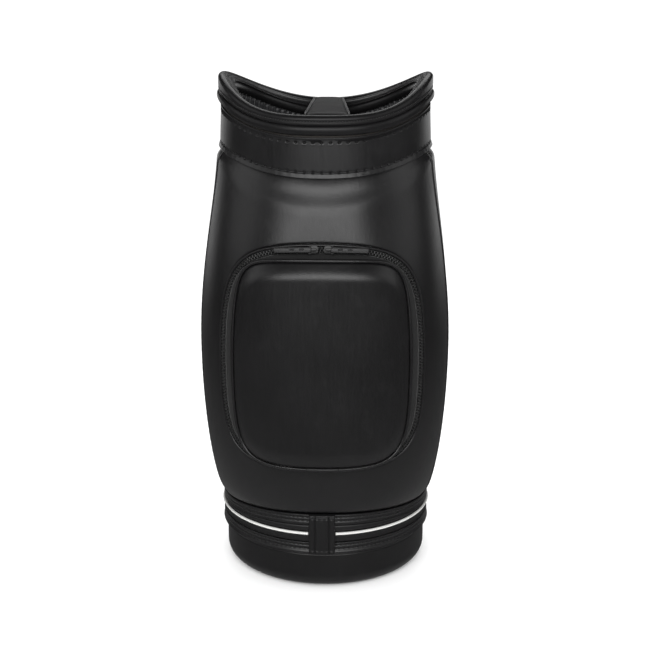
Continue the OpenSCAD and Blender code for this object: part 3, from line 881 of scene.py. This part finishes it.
def build_rim():
    """The bead, the stitched rim and the padded inner roll."""
    t, a = np.linspace(0, 360, 720, endpoint=False)[:, None], circle(28)
    bead = 1 + 0.015 * waves(5 * t, 0 * t, 41)
    points = place(t, BEAD_R + BEAD_DEEP * bead * np.cos(a), bead_z(t) + BEAD_TALL * bead * np.sin(a))
    sweep("rim_bead_leather", points, finish("rim"), wrap=True, stands_for=["rim_bead"])
    rim = ring("rim_leather", rim_roll, finish("rim"), steps=1040, stands_for=["rim_roll"])
    ring_stitches("rim_stitches", ROLL_OUT - 0.35, lambda t: flank_foot(t) + RIM_ROW, RIM_PITCH,
                  length=1.5, thick=0.28)
    inner = ring("rim_inner_roll", inner_roll, finish("facing"), steps=960, stands_for=["rim_facing"])


# --- inside ---
LINING_R, LINING_MOST, LINING_THICK, LINING_LOW = 89.2, 90.0, 0.45, 9.8


def build_lining():
    """Satin lining: gathers that fade downwards, and a few long soft folds."""
    t = np.linspace(0, 360, 720, endpoint=False)[:, None]
    v = (np.linspace(0, 1, 64) ** 0.6)[None]
    low, high = LINING_LOW, rim_z(t) - 9.4
    z = low + (high - low) * v
    down = high - z
    long_fold = np.sin(np.radians(23 * t) + 1.7 * np.sin(np.radians(5 * t)))
    r = (LINING_R - 1.2 * smooth(1 - down / 5) + 0.75 * gathers(t, 89) * np.exp(-down / 14)
         - 0.5 * long_fold * np.exp(-((down - 40) / 60) ** 2) - 0.6 * smooth(down / 30))
    r = np.minimum(r, LINING_MOST)
    lining = shell("lining", place(t, r + LINING_THICK, z), place(t, r, z), True, finish=finish("lining"),
                   stands_for=["tube_lining"], slot="black_lining")


def build_floor_pad():
    """Soft round pad: a crowned top, a rounded edge and six shallow tufts."""
    lo, hi = span("floor_pad")
    radius = np.array([0.25, 0.5, 0.7, 0.85, 0.93, 0.97, 0.99, 1.0, 1.0, 0.99, 0.97, 0.9, 0.5])
    level = np.array([1, 1, 0.98, 0.94, 0.86, 0.72, 0.55, 0.42, 0.3, 0.12, 0.04, 0, 0])
    turn = np.linspace(0, 360, 144, endpoint=False)[None]
    pad_r = (hi[0] - 0.8) * radius[:, None]
    tuft = 0.25 * np.sin(np.radians(6 * turn)) * (radius * (1 - radius))[:, None] * 4
    rows = place(turn, pad_r, lo[2] + (hi[2] - lo[2]) * level[:, None] + tuft * (level > 0.8)[:, None])
    points, faces = capped(rows[::-1], [0, 0, lo[2]], [0, 0, hi[2]])
    pad = piece("floor_pad_soft", points, faces, finish("lining"), stands_for=["floor_pad"],
                slot="black_lining")


def finish_boards():
    """Materials of the frame nodes that stay visible."""
    for node, kind in (("tube", "board"), ("collar_crown", "board"), ("floor_board", "board"),
                       ("pocket_back", "lining"), ("pocket_wall", "lining")):
        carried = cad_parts[node]
        carried.data.materials.clear()
        carried.data.materials.append(finish(kind))


# --- bridge ---
FLANGE_OUT, FLANGE_REACH, FLANGE_PITCH = 93.6, 11.0, 3.4
FLANGE_MID, FLANGE_HALF, FLANGE_ROW = 88, 20.5, 0.28
STRAP_OFF = 4.0


def bridge_top(y):
    return RIM_LOW + 8.9 + 1.2 * np.cos(np.radians(90 * (y - 8) / 84))


def bridge_half(y):
    return 15.2 + 4.9 * np.clip((88 - y) / 166, 0, 1) ** 1.5


def bridge_shift(y):
    """The strap's front end is sewn STRAP_OFF to the right of the middle."""
    return STRAP_OFF * np.clip((92 - y) / 166, 0, 1)


def build_strap():
    """Strap over the mouth: crowned and padded, with a bead along either edge, turned down over the rear rim
    and thinner where its front end goes under the flange."""
    y = np.concatenate([np.linspace(-82.5, 80, 110), np.linspace(81, 99.3, 34)])[:, None]
    half = bridge_half(y) - 1.6
    over = np.maximum(y - 92.5, 0)
    front = np.maximum(-74 - y, 0)
    top = bridge_top(y) - over ** 2 * 0.09 - front ** 2 * 0.045
    thick = 7.0 - 5.0 * smooth((y - 66) / 16) - 3.5 * smooth((-70 - y) / 10)
    u = np.linspace(-1, 1, 33)[None]
    crown = 0.5 * (1 - u ** 2) - 0.7 * np.abs(u) ** 9 - 0.35 * bump(np.abs(u) - 0.9, 0.04)
    soft = 0.12 * waves(60 * u, y, 51)
    shift = bridge_shift(y)
    upper = np.stack(np.broadcast_arrays(shift + half * u, y, top + crown + soft), -1)
    w = np.linspace(1, -1, 13)[None]
    lower = np.stack(np.broadcast_arrays(shift + half * w * 0.96, y, top - thick + 0.4 * w ** 6), -1)
    section = np.concatenate([upper, lower], 1)
    strap = sweep("bridge_leather", section, finish("strap"),
                  stands_for=["bridge_strap", "bridge_anchor_rear"])
    a = circle(12)
    for name, side in (("left", -1), ("right", 1)):
        x = shift + side * (bridge_half(y) - 0.9)
        fat = 1.15 * (1 + 0.03 * np.sin(2 * np.pi * y / 5.5))
        cord = np.stack(np.broadcast_arrays(x + fat * np.cos(a), y, top - 0.5 + fat * np.sin(a)), -1)
        sweep(f"bridge_bead_leather_{name}", cord, finish("rim"), stands_for=[f"bridge_bead_{name}"])


def flange_reach(t):
    """How far the flange reaches inwards: a leaf shape that ends at its tips."""
    return FLANGE_REACH * (1 - (np.abs(t) / 21) ** 2.2) + 0.6


def build_flange():
    """Leaf-shaped patch from the inner shoulder of the front rim to the strap's end, with two sewn rows."""
    t = np.linspace(-FLANGE_HALF, FLANGE_HALF, 200)[:, None]
    v = np.linspace(0, 1, 26)[None]
    reach = flange_reach(t)
    hole = bump(from_hole(np.radians(t) * FLANGE_MID, FLANGE_PITCH), 0.5)
    rows = bump(v - FLANGE_ROW, 0.04) + bump(v - 0.8, 0.04)
    dent = (0.3 + 0.45 * hole) * rows * smooth(reach / 5)
    soft = 0.12 * waves(9 * t, 60 * v, 57)
    r = FLANGE_OUT - reach * v
    z = rim_z(t) + ROLL_R - 0.7 - 1.5 * v ** 2 - 0.7 * (2 * v - 1) ** 10 - dent + soft
    shell("bridge_flange", place(t, r, z), place(t, r, z - 1.2 - 4.0 * np.sin(np.pi * v)), False,
          finish=finish("strap"), stands_for=["bridge_anchor_front"])
    t = np.degrees(np.arange(-7, 8) * FLANGE_PITCH / FLANGE_MID)
    near = FLANGE_OUT - FLANGE_ROW * flange_reach(t)
    up = np.zeros((len(t), 3)) + [0, 0, 1.0]
    stitches("bridge_stitches", place(t, near, rim_z(t) + ROLL_R - 0.95), place(t + 90, 1.0, 0.0), up,
             length=2.3, thick=0.3)


# --- pocket ---
def loop_cord(name, centre, radius, count, shape, sides, squash=1.0, **where):
    """A cord round the pocket: centre gives (offset, height) from the outline, shape places it."""
    i, _ = by_length((0.0, OUTLINE_N, lambda i: shape(i, centre[0], centre[1])), count)
    i, a = i[:, None], circle(sides)
    fat = radius * (1 + 0.025 * np.sin(2 * np.pi * np.arange(count) / 9)[:, None])
    points = shape(i + 0 * a, centre[0] + fat * np.cos(a), centre[1] + squash * fat * np.sin(a))
    return sweep(name, points, finish("piping"), wrap=True, **where)


def zip_shape(i, a, h):
    return on_body(ZIP_LINE, i, a, h)


def build_pocket():
    """The opening's turned leather bead and the fixed zipper tape."""
    loop_cord("opening_bead", (3.75, 0.3), 1.15, 900, zip_shape, sides=14, squash=1.15,
              stands_for=["pocket_edge_bead"])
    i = np.linspace(-7.0, 31.0, 500)[:, None]
    profile = np.array([[0.15, -1.7], [2.9, -1.7], [2.9, -1.1], [0.15, -1.1]])
    points = on_body(ZIP_LINE, i, profile[None, :, 0], profile[None, :, 1])
    sweep("zipper_tape_outer", points, finish("tape"), stands_for=["zip_tape_fixed"], slot="zip_tape")


def build_hinge_fold():
    """Folded strip on which the lid turns, along the bottom of the opening."""
    i = np.linspace(31.3, 40.7, 140)[:, None]
    v = np.linspace(0, 1, 15)[None]
    a = 4.9 - 8.6 * v
    h = -1.0 - 1.2 * np.sin(np.pi * v)
    outer = on_body(ZIP_LINE, i, a, h + 0.4)
    inner = on_body(ZIP_LINE, i, a, h - 0.4)
    fold = shell("hinge_fold", outer, inner, False, finish=finish("tape"), body=None, slot="zip_tape")
    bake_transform(fold)


def build_lid():
    """Pocket lid: a padded face with rolled edges, and the piping round it."""
    round_it, rings = 480, 52
    i, _ = by_length((0.0, OUTLINE_N, lambda i: on_face(i, 0.0, 0.0)), round_it)
    t0, z0 = offset_line(FACE_LINE, i, -0.1)
    s = np.linspace(0, 1, rings)[:, None]
    f = 1 - s ** 1.9 * 0.985
    t, z = t0 * f, CHART_MID + (z0 - CHART_MID) * f
    edge = np.minimum((1 - f) * 78.0, 40.0)
    roll = 1.1 * fall(edge / 1.4)
    flatter = body_r(t, CHART_MID + 0.5 * (z - CHART_MID)) - body_r(t, z)
    pad = 0.6 + flatter * np.sin(np.pi / 2 * np.clip(edge / 13, 0, 1)) ** 1.2
    height = body_r(t, z) + face_rise(t) - roll + pad - 1.0 + 0.18 * waves(t, z, 61) * smooth(edge / 12)
    outer = place(t, height, z)
    inner = place(t, body_r(t, z) + face_rise(t) - 2.3, z)
    rows = np.concatenate([inner[::-1], outer], 0)
    points, faces = capped(rows, rows[0].mean(0), rows[-1].mean(0))
    face = piece("lid_leather", points, faces, finish("lid"), body="pocket_lid", stands_for=["lid_face"])
    loop_cord("lid_piping_cord", (1.9, -0.7), 1.6, 960, on_face, sides=16, body="pocket_lid",
              stands_for=["lid_piping"])


def build_gusset():
    """The lid's wall: from under the piping to the teeth, ribbed across like heavy tape."""
    count = 1500
    i, length = by_length((0.0, OUTLINE_N, lambda i: on_body(ZIP_LINE, i, -2.9, 0.2)), count)
    ii = i[:, None]
    rib = 0.16 * np.sin(2 * np.pi * np.arange(count) * round(length / 1.5) / count)[:, None]
    foot = on_body(ZIP_LINE, ii, np.array([[-4.0, -2.7]]), np.array([[0.1, 0.1]]))
    head = on_face(ii, np.array([[-1.0, 0.9]]), np.array([[-3.2, -2.7]]))
    v = np.linspace(0, 1, 12)[None, :, None]
    outer = foot[:, 1:2] + (head[:, 1:2] - foot[:, 1:2]) * v
    inner = foot[:, 0:1] + (head[:, 0:1] - foot[:, 0:1]) * v
    normal = outer - inner
    normal /= np.linalg.norm(normal, axis=-1, keepdims=True)
    belly = 0.5 * np.sin(np.pi * v)
    outer = outer + normal * (rib[:, :, None] * smooth((1 - v) * 5) - belly)
    section = np.concatenate([inner, outer[:, ::-1]], 1)
    sweep("lid_gusset", section, finish("tape"), wrap=True, body="pocket_lid",
          stands_for=["lid_wall", "zip_tape_lid"], slot="zip_tape")


def build_piping_join():
    """Short sleeve over the two ends of the lid's piping, at the middle of its lower edge."""
    i = np.linspace(35.3, 36.9, 24)[:, None]
    a = circle(16)
    fat = 1.6 + 0.28 * np.sqrt(np.sin(np.pi * np.linspace(0.02, 0.98, 24)))[:, None]
    points = on_face(i + 0 * a, 1.9 + fat * np.cos(a), -0.7 + fat * np.sin(a))
    sweep("piping_join", points, finish("trim"), body="pocket_lid")


TOOTH_PITCH = 2.9


def build_teeth():
    """Moulded teeth: each a rounded block with a swollen head that reaches past the middle line."""
    line = lambda i: on_body(ZIP_LINE, i, 0.0, 0.3)
    _, length = by_length((-6.6, 30.6, line), 10, closed=False)
    count = int(length / TOOTH_PITCH)
    place_at, _ = by_length((-6.6, 30.6, line), 2 * count, closed=False)
    width = np.array([1.25, 1.25, 1.0, 0.75, 1.15, 0.8])[None, :, None, None]
    across = np.array([2.25, 1.7, 1.0, 0.35, -0.15, -0.6])[None, :, None]
    tall = np.array([0.75, 0.95, 1.0, 0.95, 1.0, 0.6])[None, :, None]
    corner = np.array([[-1, -0.75], [-0.75, -1], [0.75, -1], [1, -0.75], [1, 0.45], [0.6, 1], [-0.6, 1],
                       [-1, 0.45]])
    b, edge = circle(8), np.linspace(-6.8, 30.8, 600)[:, None]
    step = OUTLINE_N / 4000
    for name, side, body, first, node in (("outer", 1, "bag", 0, "zip_coil_fixed"),
                                          ("inner", -1, "pocket_lid", 1, "zip_coil_lid")):
        i = place_at[first::2][:, None, None]
        tangent = line(i + step) - line(i - step)
        tangent /= np.linalg.norm(tangent, axis=-1, keepdims=True)
        a = side * across + 0 * corner[None, None, :, 0]
        centre = on_body(ZIP_LINE, i + 0 * a, a, 0.25 + 0.85 * tall * corner[None, None, :, 1])
        points = centre + tangent * width / 2 * corner[None, None, :, :1]
        piece(f"teeth_{name}", points, blocks(points), finish("teeth"), body=body,
              stands_for=[node], slot="zip_coil")
        cord = on_body(ZIP_LINE, edge + 0 * b, side * (1.9 + 0.45 * np.cos(b)), -0.35 + 0.45 * np.sin(b))
        sweep(f"teeth_cord_{name}", cord, finish("tape"), body=body, slot="zip_tape")


# --- sliders and pull tabs ---
def turn_x(angle):
    c, s = np.cos(np.radians(angle)), np.sin(np.radians(angle))
    return np.array([[1, 0, 0], [0, c, -s], [0, s, c]])


def turn_z(angle):
    c, s = np.cos(np.radians(angle)), np.sin(np.radians(angle))
    return np.array([[c, -s, 0], [s, c, 0], [0, 0, 1]])


def on_track(side, points):
    """From a slider's own frame (X outward along the zipper, Z out of the body) to the bag's."""
    base = turn_x(-TRACK_TILT) @ turn_z(side * TRACK_REST)
    local = turn_x(90 + BODY_SLOPE) @ np.diag([side, 1, 1])
    return (points @ local.T + np.array([0, -TRACK_R, 0])) @ base.T + np.array([0, TRACK_Y, TRACK_Z])


def slab(line, levels):
    """Rounded plate: a closed outline (n, 2), drawn in by each level's inset, at the levels' heights."""
    d = np.roll(line, -1, 0) - np.roll(line, 1, 0)
    normal = np.stack([d[:, 1], -d[:, 0]], -1) / np.linalg.norm(d, axis=1, keepdims=True)
    rows = np.stack([np.concatenate([line - inset * normal, np.full((len(line), 1), z)], 1)
                     for z, inset in levels])
    return capped(rows, [*rows[0, :, :2].mean(0), levels[0][0]], [*rows[-1, :, :2].mean(0), levels[-1][0]])


def oblong(half_x, half_y, power, taper=0.0):
    """Superellipse outline, narrower towards +X by taper."""
    a = circle(40)[0]
    c, s = np.cos(a), np.sin(a)
    x = half_x * np.sign(c) * np.abs(c) ** (2 / power)
    y = half_y * np.sign(s) * np.abs(s) ** (2 / power) * (1 - taper * (x / half_x + 1) / 2)
    return np.stack([x, y], -1)


def edge_levels(low, high, edge):
    """Levels of a plate whose edges are quarter circles."""
    a = np.linspace(0, np.pi / 2, 5)
    down = [(low + edge * (1 - np.sin(k)), edge * (1 - np.cos(k))) for k in a[::-1]]
    up = [(high - edge * (1 - np.sin(k)), edge * (1 - np.cos(k))) for k in a]
    return down + up


def build_slider(name, side):
    """Slider: a shield-shaped plate, a raised spine, two cheeks and the pull's pin between them."""
    plate = slab(oblong(4.6, 3.9, power=3.4, taper=0.16), edge_levels(1.45, 2.75, 0.5))
    spine = slab(oblong(3.4, 1.5, power=2.6), edge_levels(2.4, 3.5, 0.5))
    parts = [plate, spine]
    for y in (-1, 1):
        cheek = slab(oblong(1.3, 0.42, power=2.6), edge_levels(2.5, 5.4, 0.25))
        parts.append((cheek[0] + np.array([3.0, y * 3.35, 0]), cheek[1]))
    a, y = circle(12), np.linspace(-3.5, 3.5, 8)[:, None]
    pin = np.stack(np.broadcast_arrays(3.0 + 0.45 * np.cos(a), y, 4.2 + 0.45 * np.sin(a)), -1)
    parts.append((pin.reshape(-1, 3), swept(pin)))
    points, faces = joined(parts)
    piece(f"slider_body_{name}", on_track(side, points), faces, finish("metal"), body=f"slider_{name}",
          stands_for=[f"slider_{name}"], slot="slider_metal")


def build_pull(name, side):
    """Pull tab: a leather strip bent to the body, with a raised border, two slots and a rounded end."""
    length, half_w, behind, pin = 33.4, 2.6, 1.4, 3.0
    x, y = np.meshgrid(crowded(110) * length - behind, crowded(30) * 2 - 1, indexing="ij")
    ahead = length - behind
    end = np.clip((x - (ahead - 2.0)) / 2.0, 0, 1)
    start = np.clip((-behind + 1.6 - x) / 1.6, 0, 1)
    width = (half_w * np.sqrt(np.maximum(1 - 0.6 * end ** 2.4, 0.004))
             * np.sqrt(np.maximum(1 - 0.45 * start ** 2, 0.01)))
    yy = y * width
    edge = np.minimum(np.minimum(x + behind, ahead - x), (1 - np.abs(y)) * width)
    roll = 0.55 * fall(edge / 0.7)
    slots = sum(smooth((1.9 - np.abs(x - at)) / 0.4) for at in (7.0, 15.5))
    groove = 0.7 * slots * smooth((0.7 - np.abs(yy)) / 0.35)
    border = 0.14 * bump(np.abs(yy) - 1.8, 0.3) - 0.12 * bump(np.abs(yy) - 1.35, 0.2)
    bend = -(np.maximum(x - 2.0, 0) ** 2) / 330
    outer = np.stack([x + pin, yy, 4.95 + bend - roll - groove + border], -1)
    inner = np.stack([x + pin, yy, 3.45 + bend + roll * 0.8], -1)
    shell(f"pull_tab_{name}", on_track(side, outer), on_track(side, inner), False,
          finish=finish("trim"), body=f"pull_{name}", stands_for=[f"pull_{name}"])


# --- stage ---
def light(name, place_mm, aim_mm, width, height, energy):
    """A rectangular softbox that faces a point; width and height are in metres, energy in watts."""
    data = bpy.data.lights.new(name, "AREA")
    data.shape = "RECTANGLE"
    data.size, data.size_y = width, height
    data.energy = energy
    lamp = bpy.data.objects.new(name, data)
    place_at = Vector(place_mm) * MM
    lamp.location = place_at
    lamp.rotation_euler = (place_at - Vector(aim_mm) * MM).to_track_quat("Z", "Y").to_euler()
    bpy.context.scene.collection.objects.link(lamp)


LENS, SENSOR, SHIFT = 70.1, 36.0, -0.001
CAMERA_REACH, CAMERA_HIGH, AIM_HIGH = 1.1994, 0.5498, 0.2331
FLOOR_HALF = 1.6


def build_camera(scene, turn_degrees):
    """Camera round the bag by turn_degrees, a little above it and looking at its middle."""
    camera = bpy.data.cameras.new("camera")
    camera.lens, camera.sensor_width, camera.shift_x = LENS, SENSOR, SHIFT
    camera.clip_start, camera.clip_end = 0.05, 20
    view = bpy.data.objects.new("camera", camera)
    turn = np.radians(turn_degrees)
    spot = Vector((CAMERA_REACH * np.sin(turn), -CAMERA_REACH * np.cos(turn), CAMERA_HIGH))
    view.location = spot
    view.rotation_euler = (Vector((0, 0, AIM_HIGH)) - spot).to_track_quat("-Z", "Y").to_euler()
    scene.collection.objects.link(view)
    scene.camera = view


def build_floor(scene):
    """A pale square on z = 0 that reflections do not show."""
    mesh = bpy.data.meshes.new("floor")
    corners = [(FLOOR_HALF * x, FLOOR_HALF * y, 0) for x, y in ((-1, -1), (1, -1), (1, 1), (-1, 1))]
    mesh.from_pydata(corners, [], [(0, 1, 2, 3)])
    floor = bpy.data.objects.new("floor", mesh)
    floor.visible_glossy = False
    scene.collection.objects.link(floor)
    f = Finish("pale_floor")
    base = f.mix(f.noise(3.0, 2.0), (0.88, 0.88, 0.88, 1), (0.91, 0.91, 0.91, 1))
    mesh.materials.append(f.done(Base_Color=base, Roughness=0.7))


ROOM_GLOW, FLOOR_GLOW, WALL_GLOW = 0.03, 0.27, 1.3


def build_surround(scene):
    """White to the camera; to the bag a dim room with a bright wall behind it and a paler floor."""
    world = bpy.data.worlds.new("surround")
    world.use_nodes = True
    scene.world = world
    world.node_tree.nodes.clear()
    f = Shading(world.node_tree)
    way = f.node("TexCoord")
    split = {axis: f.node("SeparateXYZ", values={"Vector": way}, output=k) for k, axis in enumerate("xyz")}
    soft = {"interpolation_type": "SMOOTHSTEP"}
    low = f.node("MapRange", soft, {"Value": split["z"], "From Min": -0.1, "From Max": -0.75,
                                    "To Min": ROOM_GLOW, "To Max": FLOOR_GLOW})
    back = f.node("MapRange", soft, {"Value": split["y"], "From Min": 0.5, "From Max": 0.92,
                                     "To Min": 0.0, "To Max": WALL_GLOW})
    over = f.node("MapRange", soft, {"Value": split["z"], "From Min": -0.2, "From Max": -0.02})
    under = f.node("MapRange", soft, {"Value": split["z"], "From Min": 0.14, "From Max": 0.02})
    glow = f.node("Background", values={"Color": (1, 1, 1, 1), "Strength": low + back * over * under})
    bright = f.node("Background", values={"Color": (1, 1, 1, 1), "Strength": 1.15})
    seen = f.node("LightPath")
    f.node("OutputWorld", values={"Surface": f.node("MixShader", values={0: seen, 1: glow, 2: bright})})


SUN_STRENGTH, SUN_ANGLE = 3.7, 170
SOFTBOXES = (("front_wide", (-40, -1650, 1060), (0, 0, 420), 2.3, 0.95, 29),
             ("left_high", (-1500, -200, 1100), (0, 0, 330), 1.2, 1.2, 4),
             ("right_high", (1500, -200, 1100), (0, 0, 330), 1.2, 1.2, 4),
             ("rear_high", (0, 1200, 1500), (0, 0, 330), 1.4, 0.8, 8))


def build_stage():
    """Pale floor, soft studio lights, a plain surround and the camera."""
    scene = bpy.context.scene
    setup = scene.golf_bag_stage
    scene.view_settings.view_transform = "Standard"
    build_camera(scene, setup.camera_turn)
    build_floor(scene)
    build_surround(scene)
    power = setup.light_power
    sun = bpy.data.lights.new("ceiling", "SUN")
    sun.energy, sun.angle = SUN_STRENGTH * power, np.radians(SUN_ANGLE)
    ceiling = bpy.data.objects.new("ceiling", sun)
    scene.collection.objects.link(ceiling)
    lit = bpy.data.collections.new("lit_by_ceiling")
    lit.objects.link(bpy.data.objects["floor"])
    ceiling.light_linking.receiver_collection = lit
    for name, spot, aim, width, height, watts in SOFTBOXES:
        light(name, spot, aim, width, height, watts * power)


# --- add-on ---
class GolfBagLook(bpy.types.PropertyGroup):
    """Colours and gloss of the bag"""
    leather_colour: bpy.props.FloatVectorProperty(
        name="Leather colour", description="Colour of the bag's leather", subtype="COLOR", size=4,
        min=0, max=1, default=(0.0088, 0.0085, 0.0090, 1))
    leather_roughness: bpy.props.FloatProperty(
        name="Leather roughness", description="Roughness of the bag's leather", subtype="FACTOR",
        min=0.2, max=0.7, default=0.34)
    piping_colour: bpy.props.FloatVectorProperty(
        name="Piping colour", description="Colour of the piping round the base", subtype="COLOR", size=4,
        min=0, max=1, default=(0.82, 0.82, 0.8, 1))
    lining_colour: bpy.props.FloatVectorProperty(
        name="Lining colour", description="Colour of the satin lining", subtype="COLOR", size=4,
        min=0, max=1, default=(0.022, 0.022, 0.024, 1))


class GolfBagStage(bpy.types.PropertyGroup):
    """Camera and lights"""
    camera_turn: bpy.props.FloatProperty(
        name="Camera turn", description="Camera's turn round the bag in degrees", default=2.0)
    light_power: bpy.props.FloatProperty(
        name="Light power", description="Factor on every lamp", min=0, default=1.0)


class GOLFBAG_OT_base(bpy.types.Operator):
    """Build the base cup, its bands, the white piping and the keeper tab"""
    bl_idname = "golfbag.base"
    bl_label = "Base"

    def execute(self, context):
        build_cup()
        build_lower_band()
        build_upper_band()
        build_channel()
        build_white_piping()
        build_tab()
        return {"FINISHED"}


class GOLFBAG_OT_body(bpy.types.Operator):
    """Build the leather panels and their piped seams"""
    bl_idname = "golfbag.body"
    bl_label = "Body"

    def execute(self, context):
        build_body()
        return {"FINISHED"}


class GOLFBAG_OT_cuff(bpy.types.Operator):
    """Build the cuff band and the padded rim"""
    bl_idname = "golfbag.cuff"
    bl_label = "Cuff"

    def execute(self, context):
        build_collar()
        build_rim()
        return {"FINISHED"}


class GOLFBAG_OT_inside(bpy.types.Operator):
    """Build the lining and the floor pad, and finish the boards"""
    bl_idname = "golfbag.inside"
    bl_label = "Inside"

    def execute(self, context):
        build_lining()
        build_floor_pad()
        finish_boards()
        return {"FINISHED"}


class GOLFBAG_OT_bridge(bpy.types.Operator):
    """Build the strap across the mouth"""
    bl_idname = "golfbag.bridge"
    bl_label = "Bridge"

    def execute(self, context):
        build_strap()
        build_flange()
        return {"FINISHED"}


class GOLFBAG_OT_pocket(bpy.types.Operator):
    """Build the pocket's opening, its lid and the zipper's teeth"""
    bl_idname = "golfbag.pocket"
    bl_label = "Pocket"

    def execute(self, context):
        build_pocket()
        build_hinge_fold()
        build_lid()
        build_gusset()
        build_piping_join()
        build_teeth()
        return {"FINISHED"}


class GOLFBAG_OT_sliders(bpy.types.Operator):
    """Build both sliders and their pull tabs"""
    bl_idname = "golfbag.sliders"
    bl_label = "Sliders"

    def execute(self, context):
        for name, side in (("left", -1), ("right", 1)):
            build_slider(name, side)
            build_pull(name, side)
        return {"FINISHED"}


class GOLFBAG_OT_stage(bpy.types.Operator):
    """Build the floor, the lights, the surround and the camera"""
    bl_idname = "golfbag.stage"
    bl_label = "Stage"

    def execute(self, context):
        build_stage()
        return {"FINISHED"}


OPERATORS = [GOLFBAG_OT_base, GOLFBAG_OT_body, GOLFBAG_OT_cuff, GOLFBAG_OT_inside,
             GOLFBAG_OT_bridge, GOLFBAG_OT_pocket, GOLFBAG_OT_sliders, GOLFBAG_OT_stage]


class GOLFBAG_PT_panel(bpy.types.Panel):
    """Lists the bag's settings and builders"""
    bl_idname = "GOLFBAG_PT_panel"
    bl_label = "Golf bag"
    bl_space_type = "VIEW_3D"
    bl_region_type = "UI"
    bl_category = "Golf bag"

    def draw(self, context):
        for group in (context.scene.golf_bag_look, context.scene.golf_bag_stage):
            for key in group.bl_rna.properties.keys():
                if key not in ("rna_type", "name"):
                    self.layout.prop(group, key)
        for op in OPERATORS:
            self.layout.operator(op.bl_idname)


CLASSES = [GolfBagLook, GolfBagStage, *OPERATORS, GOLFBAG_PT_panel]


def register():
    for cls in CLASSES:
        bpy.utils.register_class(cls)
    bpy.types.Scene.golf_bag_look = bpy.props.PointerProperty(type=GolfBagLook)
    bpy.types.Scene.golf_bag_stage = bpy.props.PointerProperty(type=GolfBagStage)


def unregister():
    del bpy.types.Scene.golf_bag_look
    del bpy.types.Scene.golf_bag_stage
    for cls in reversed(CLASSES):
        bpy.utils.unregister_class(cls)


def main():
    register()
    for op in OPERATORS:
        getattr(bpy.ops.golfbag, op.bl_idname.split(".")[1])()


if __name__ == "__main__":
    main()
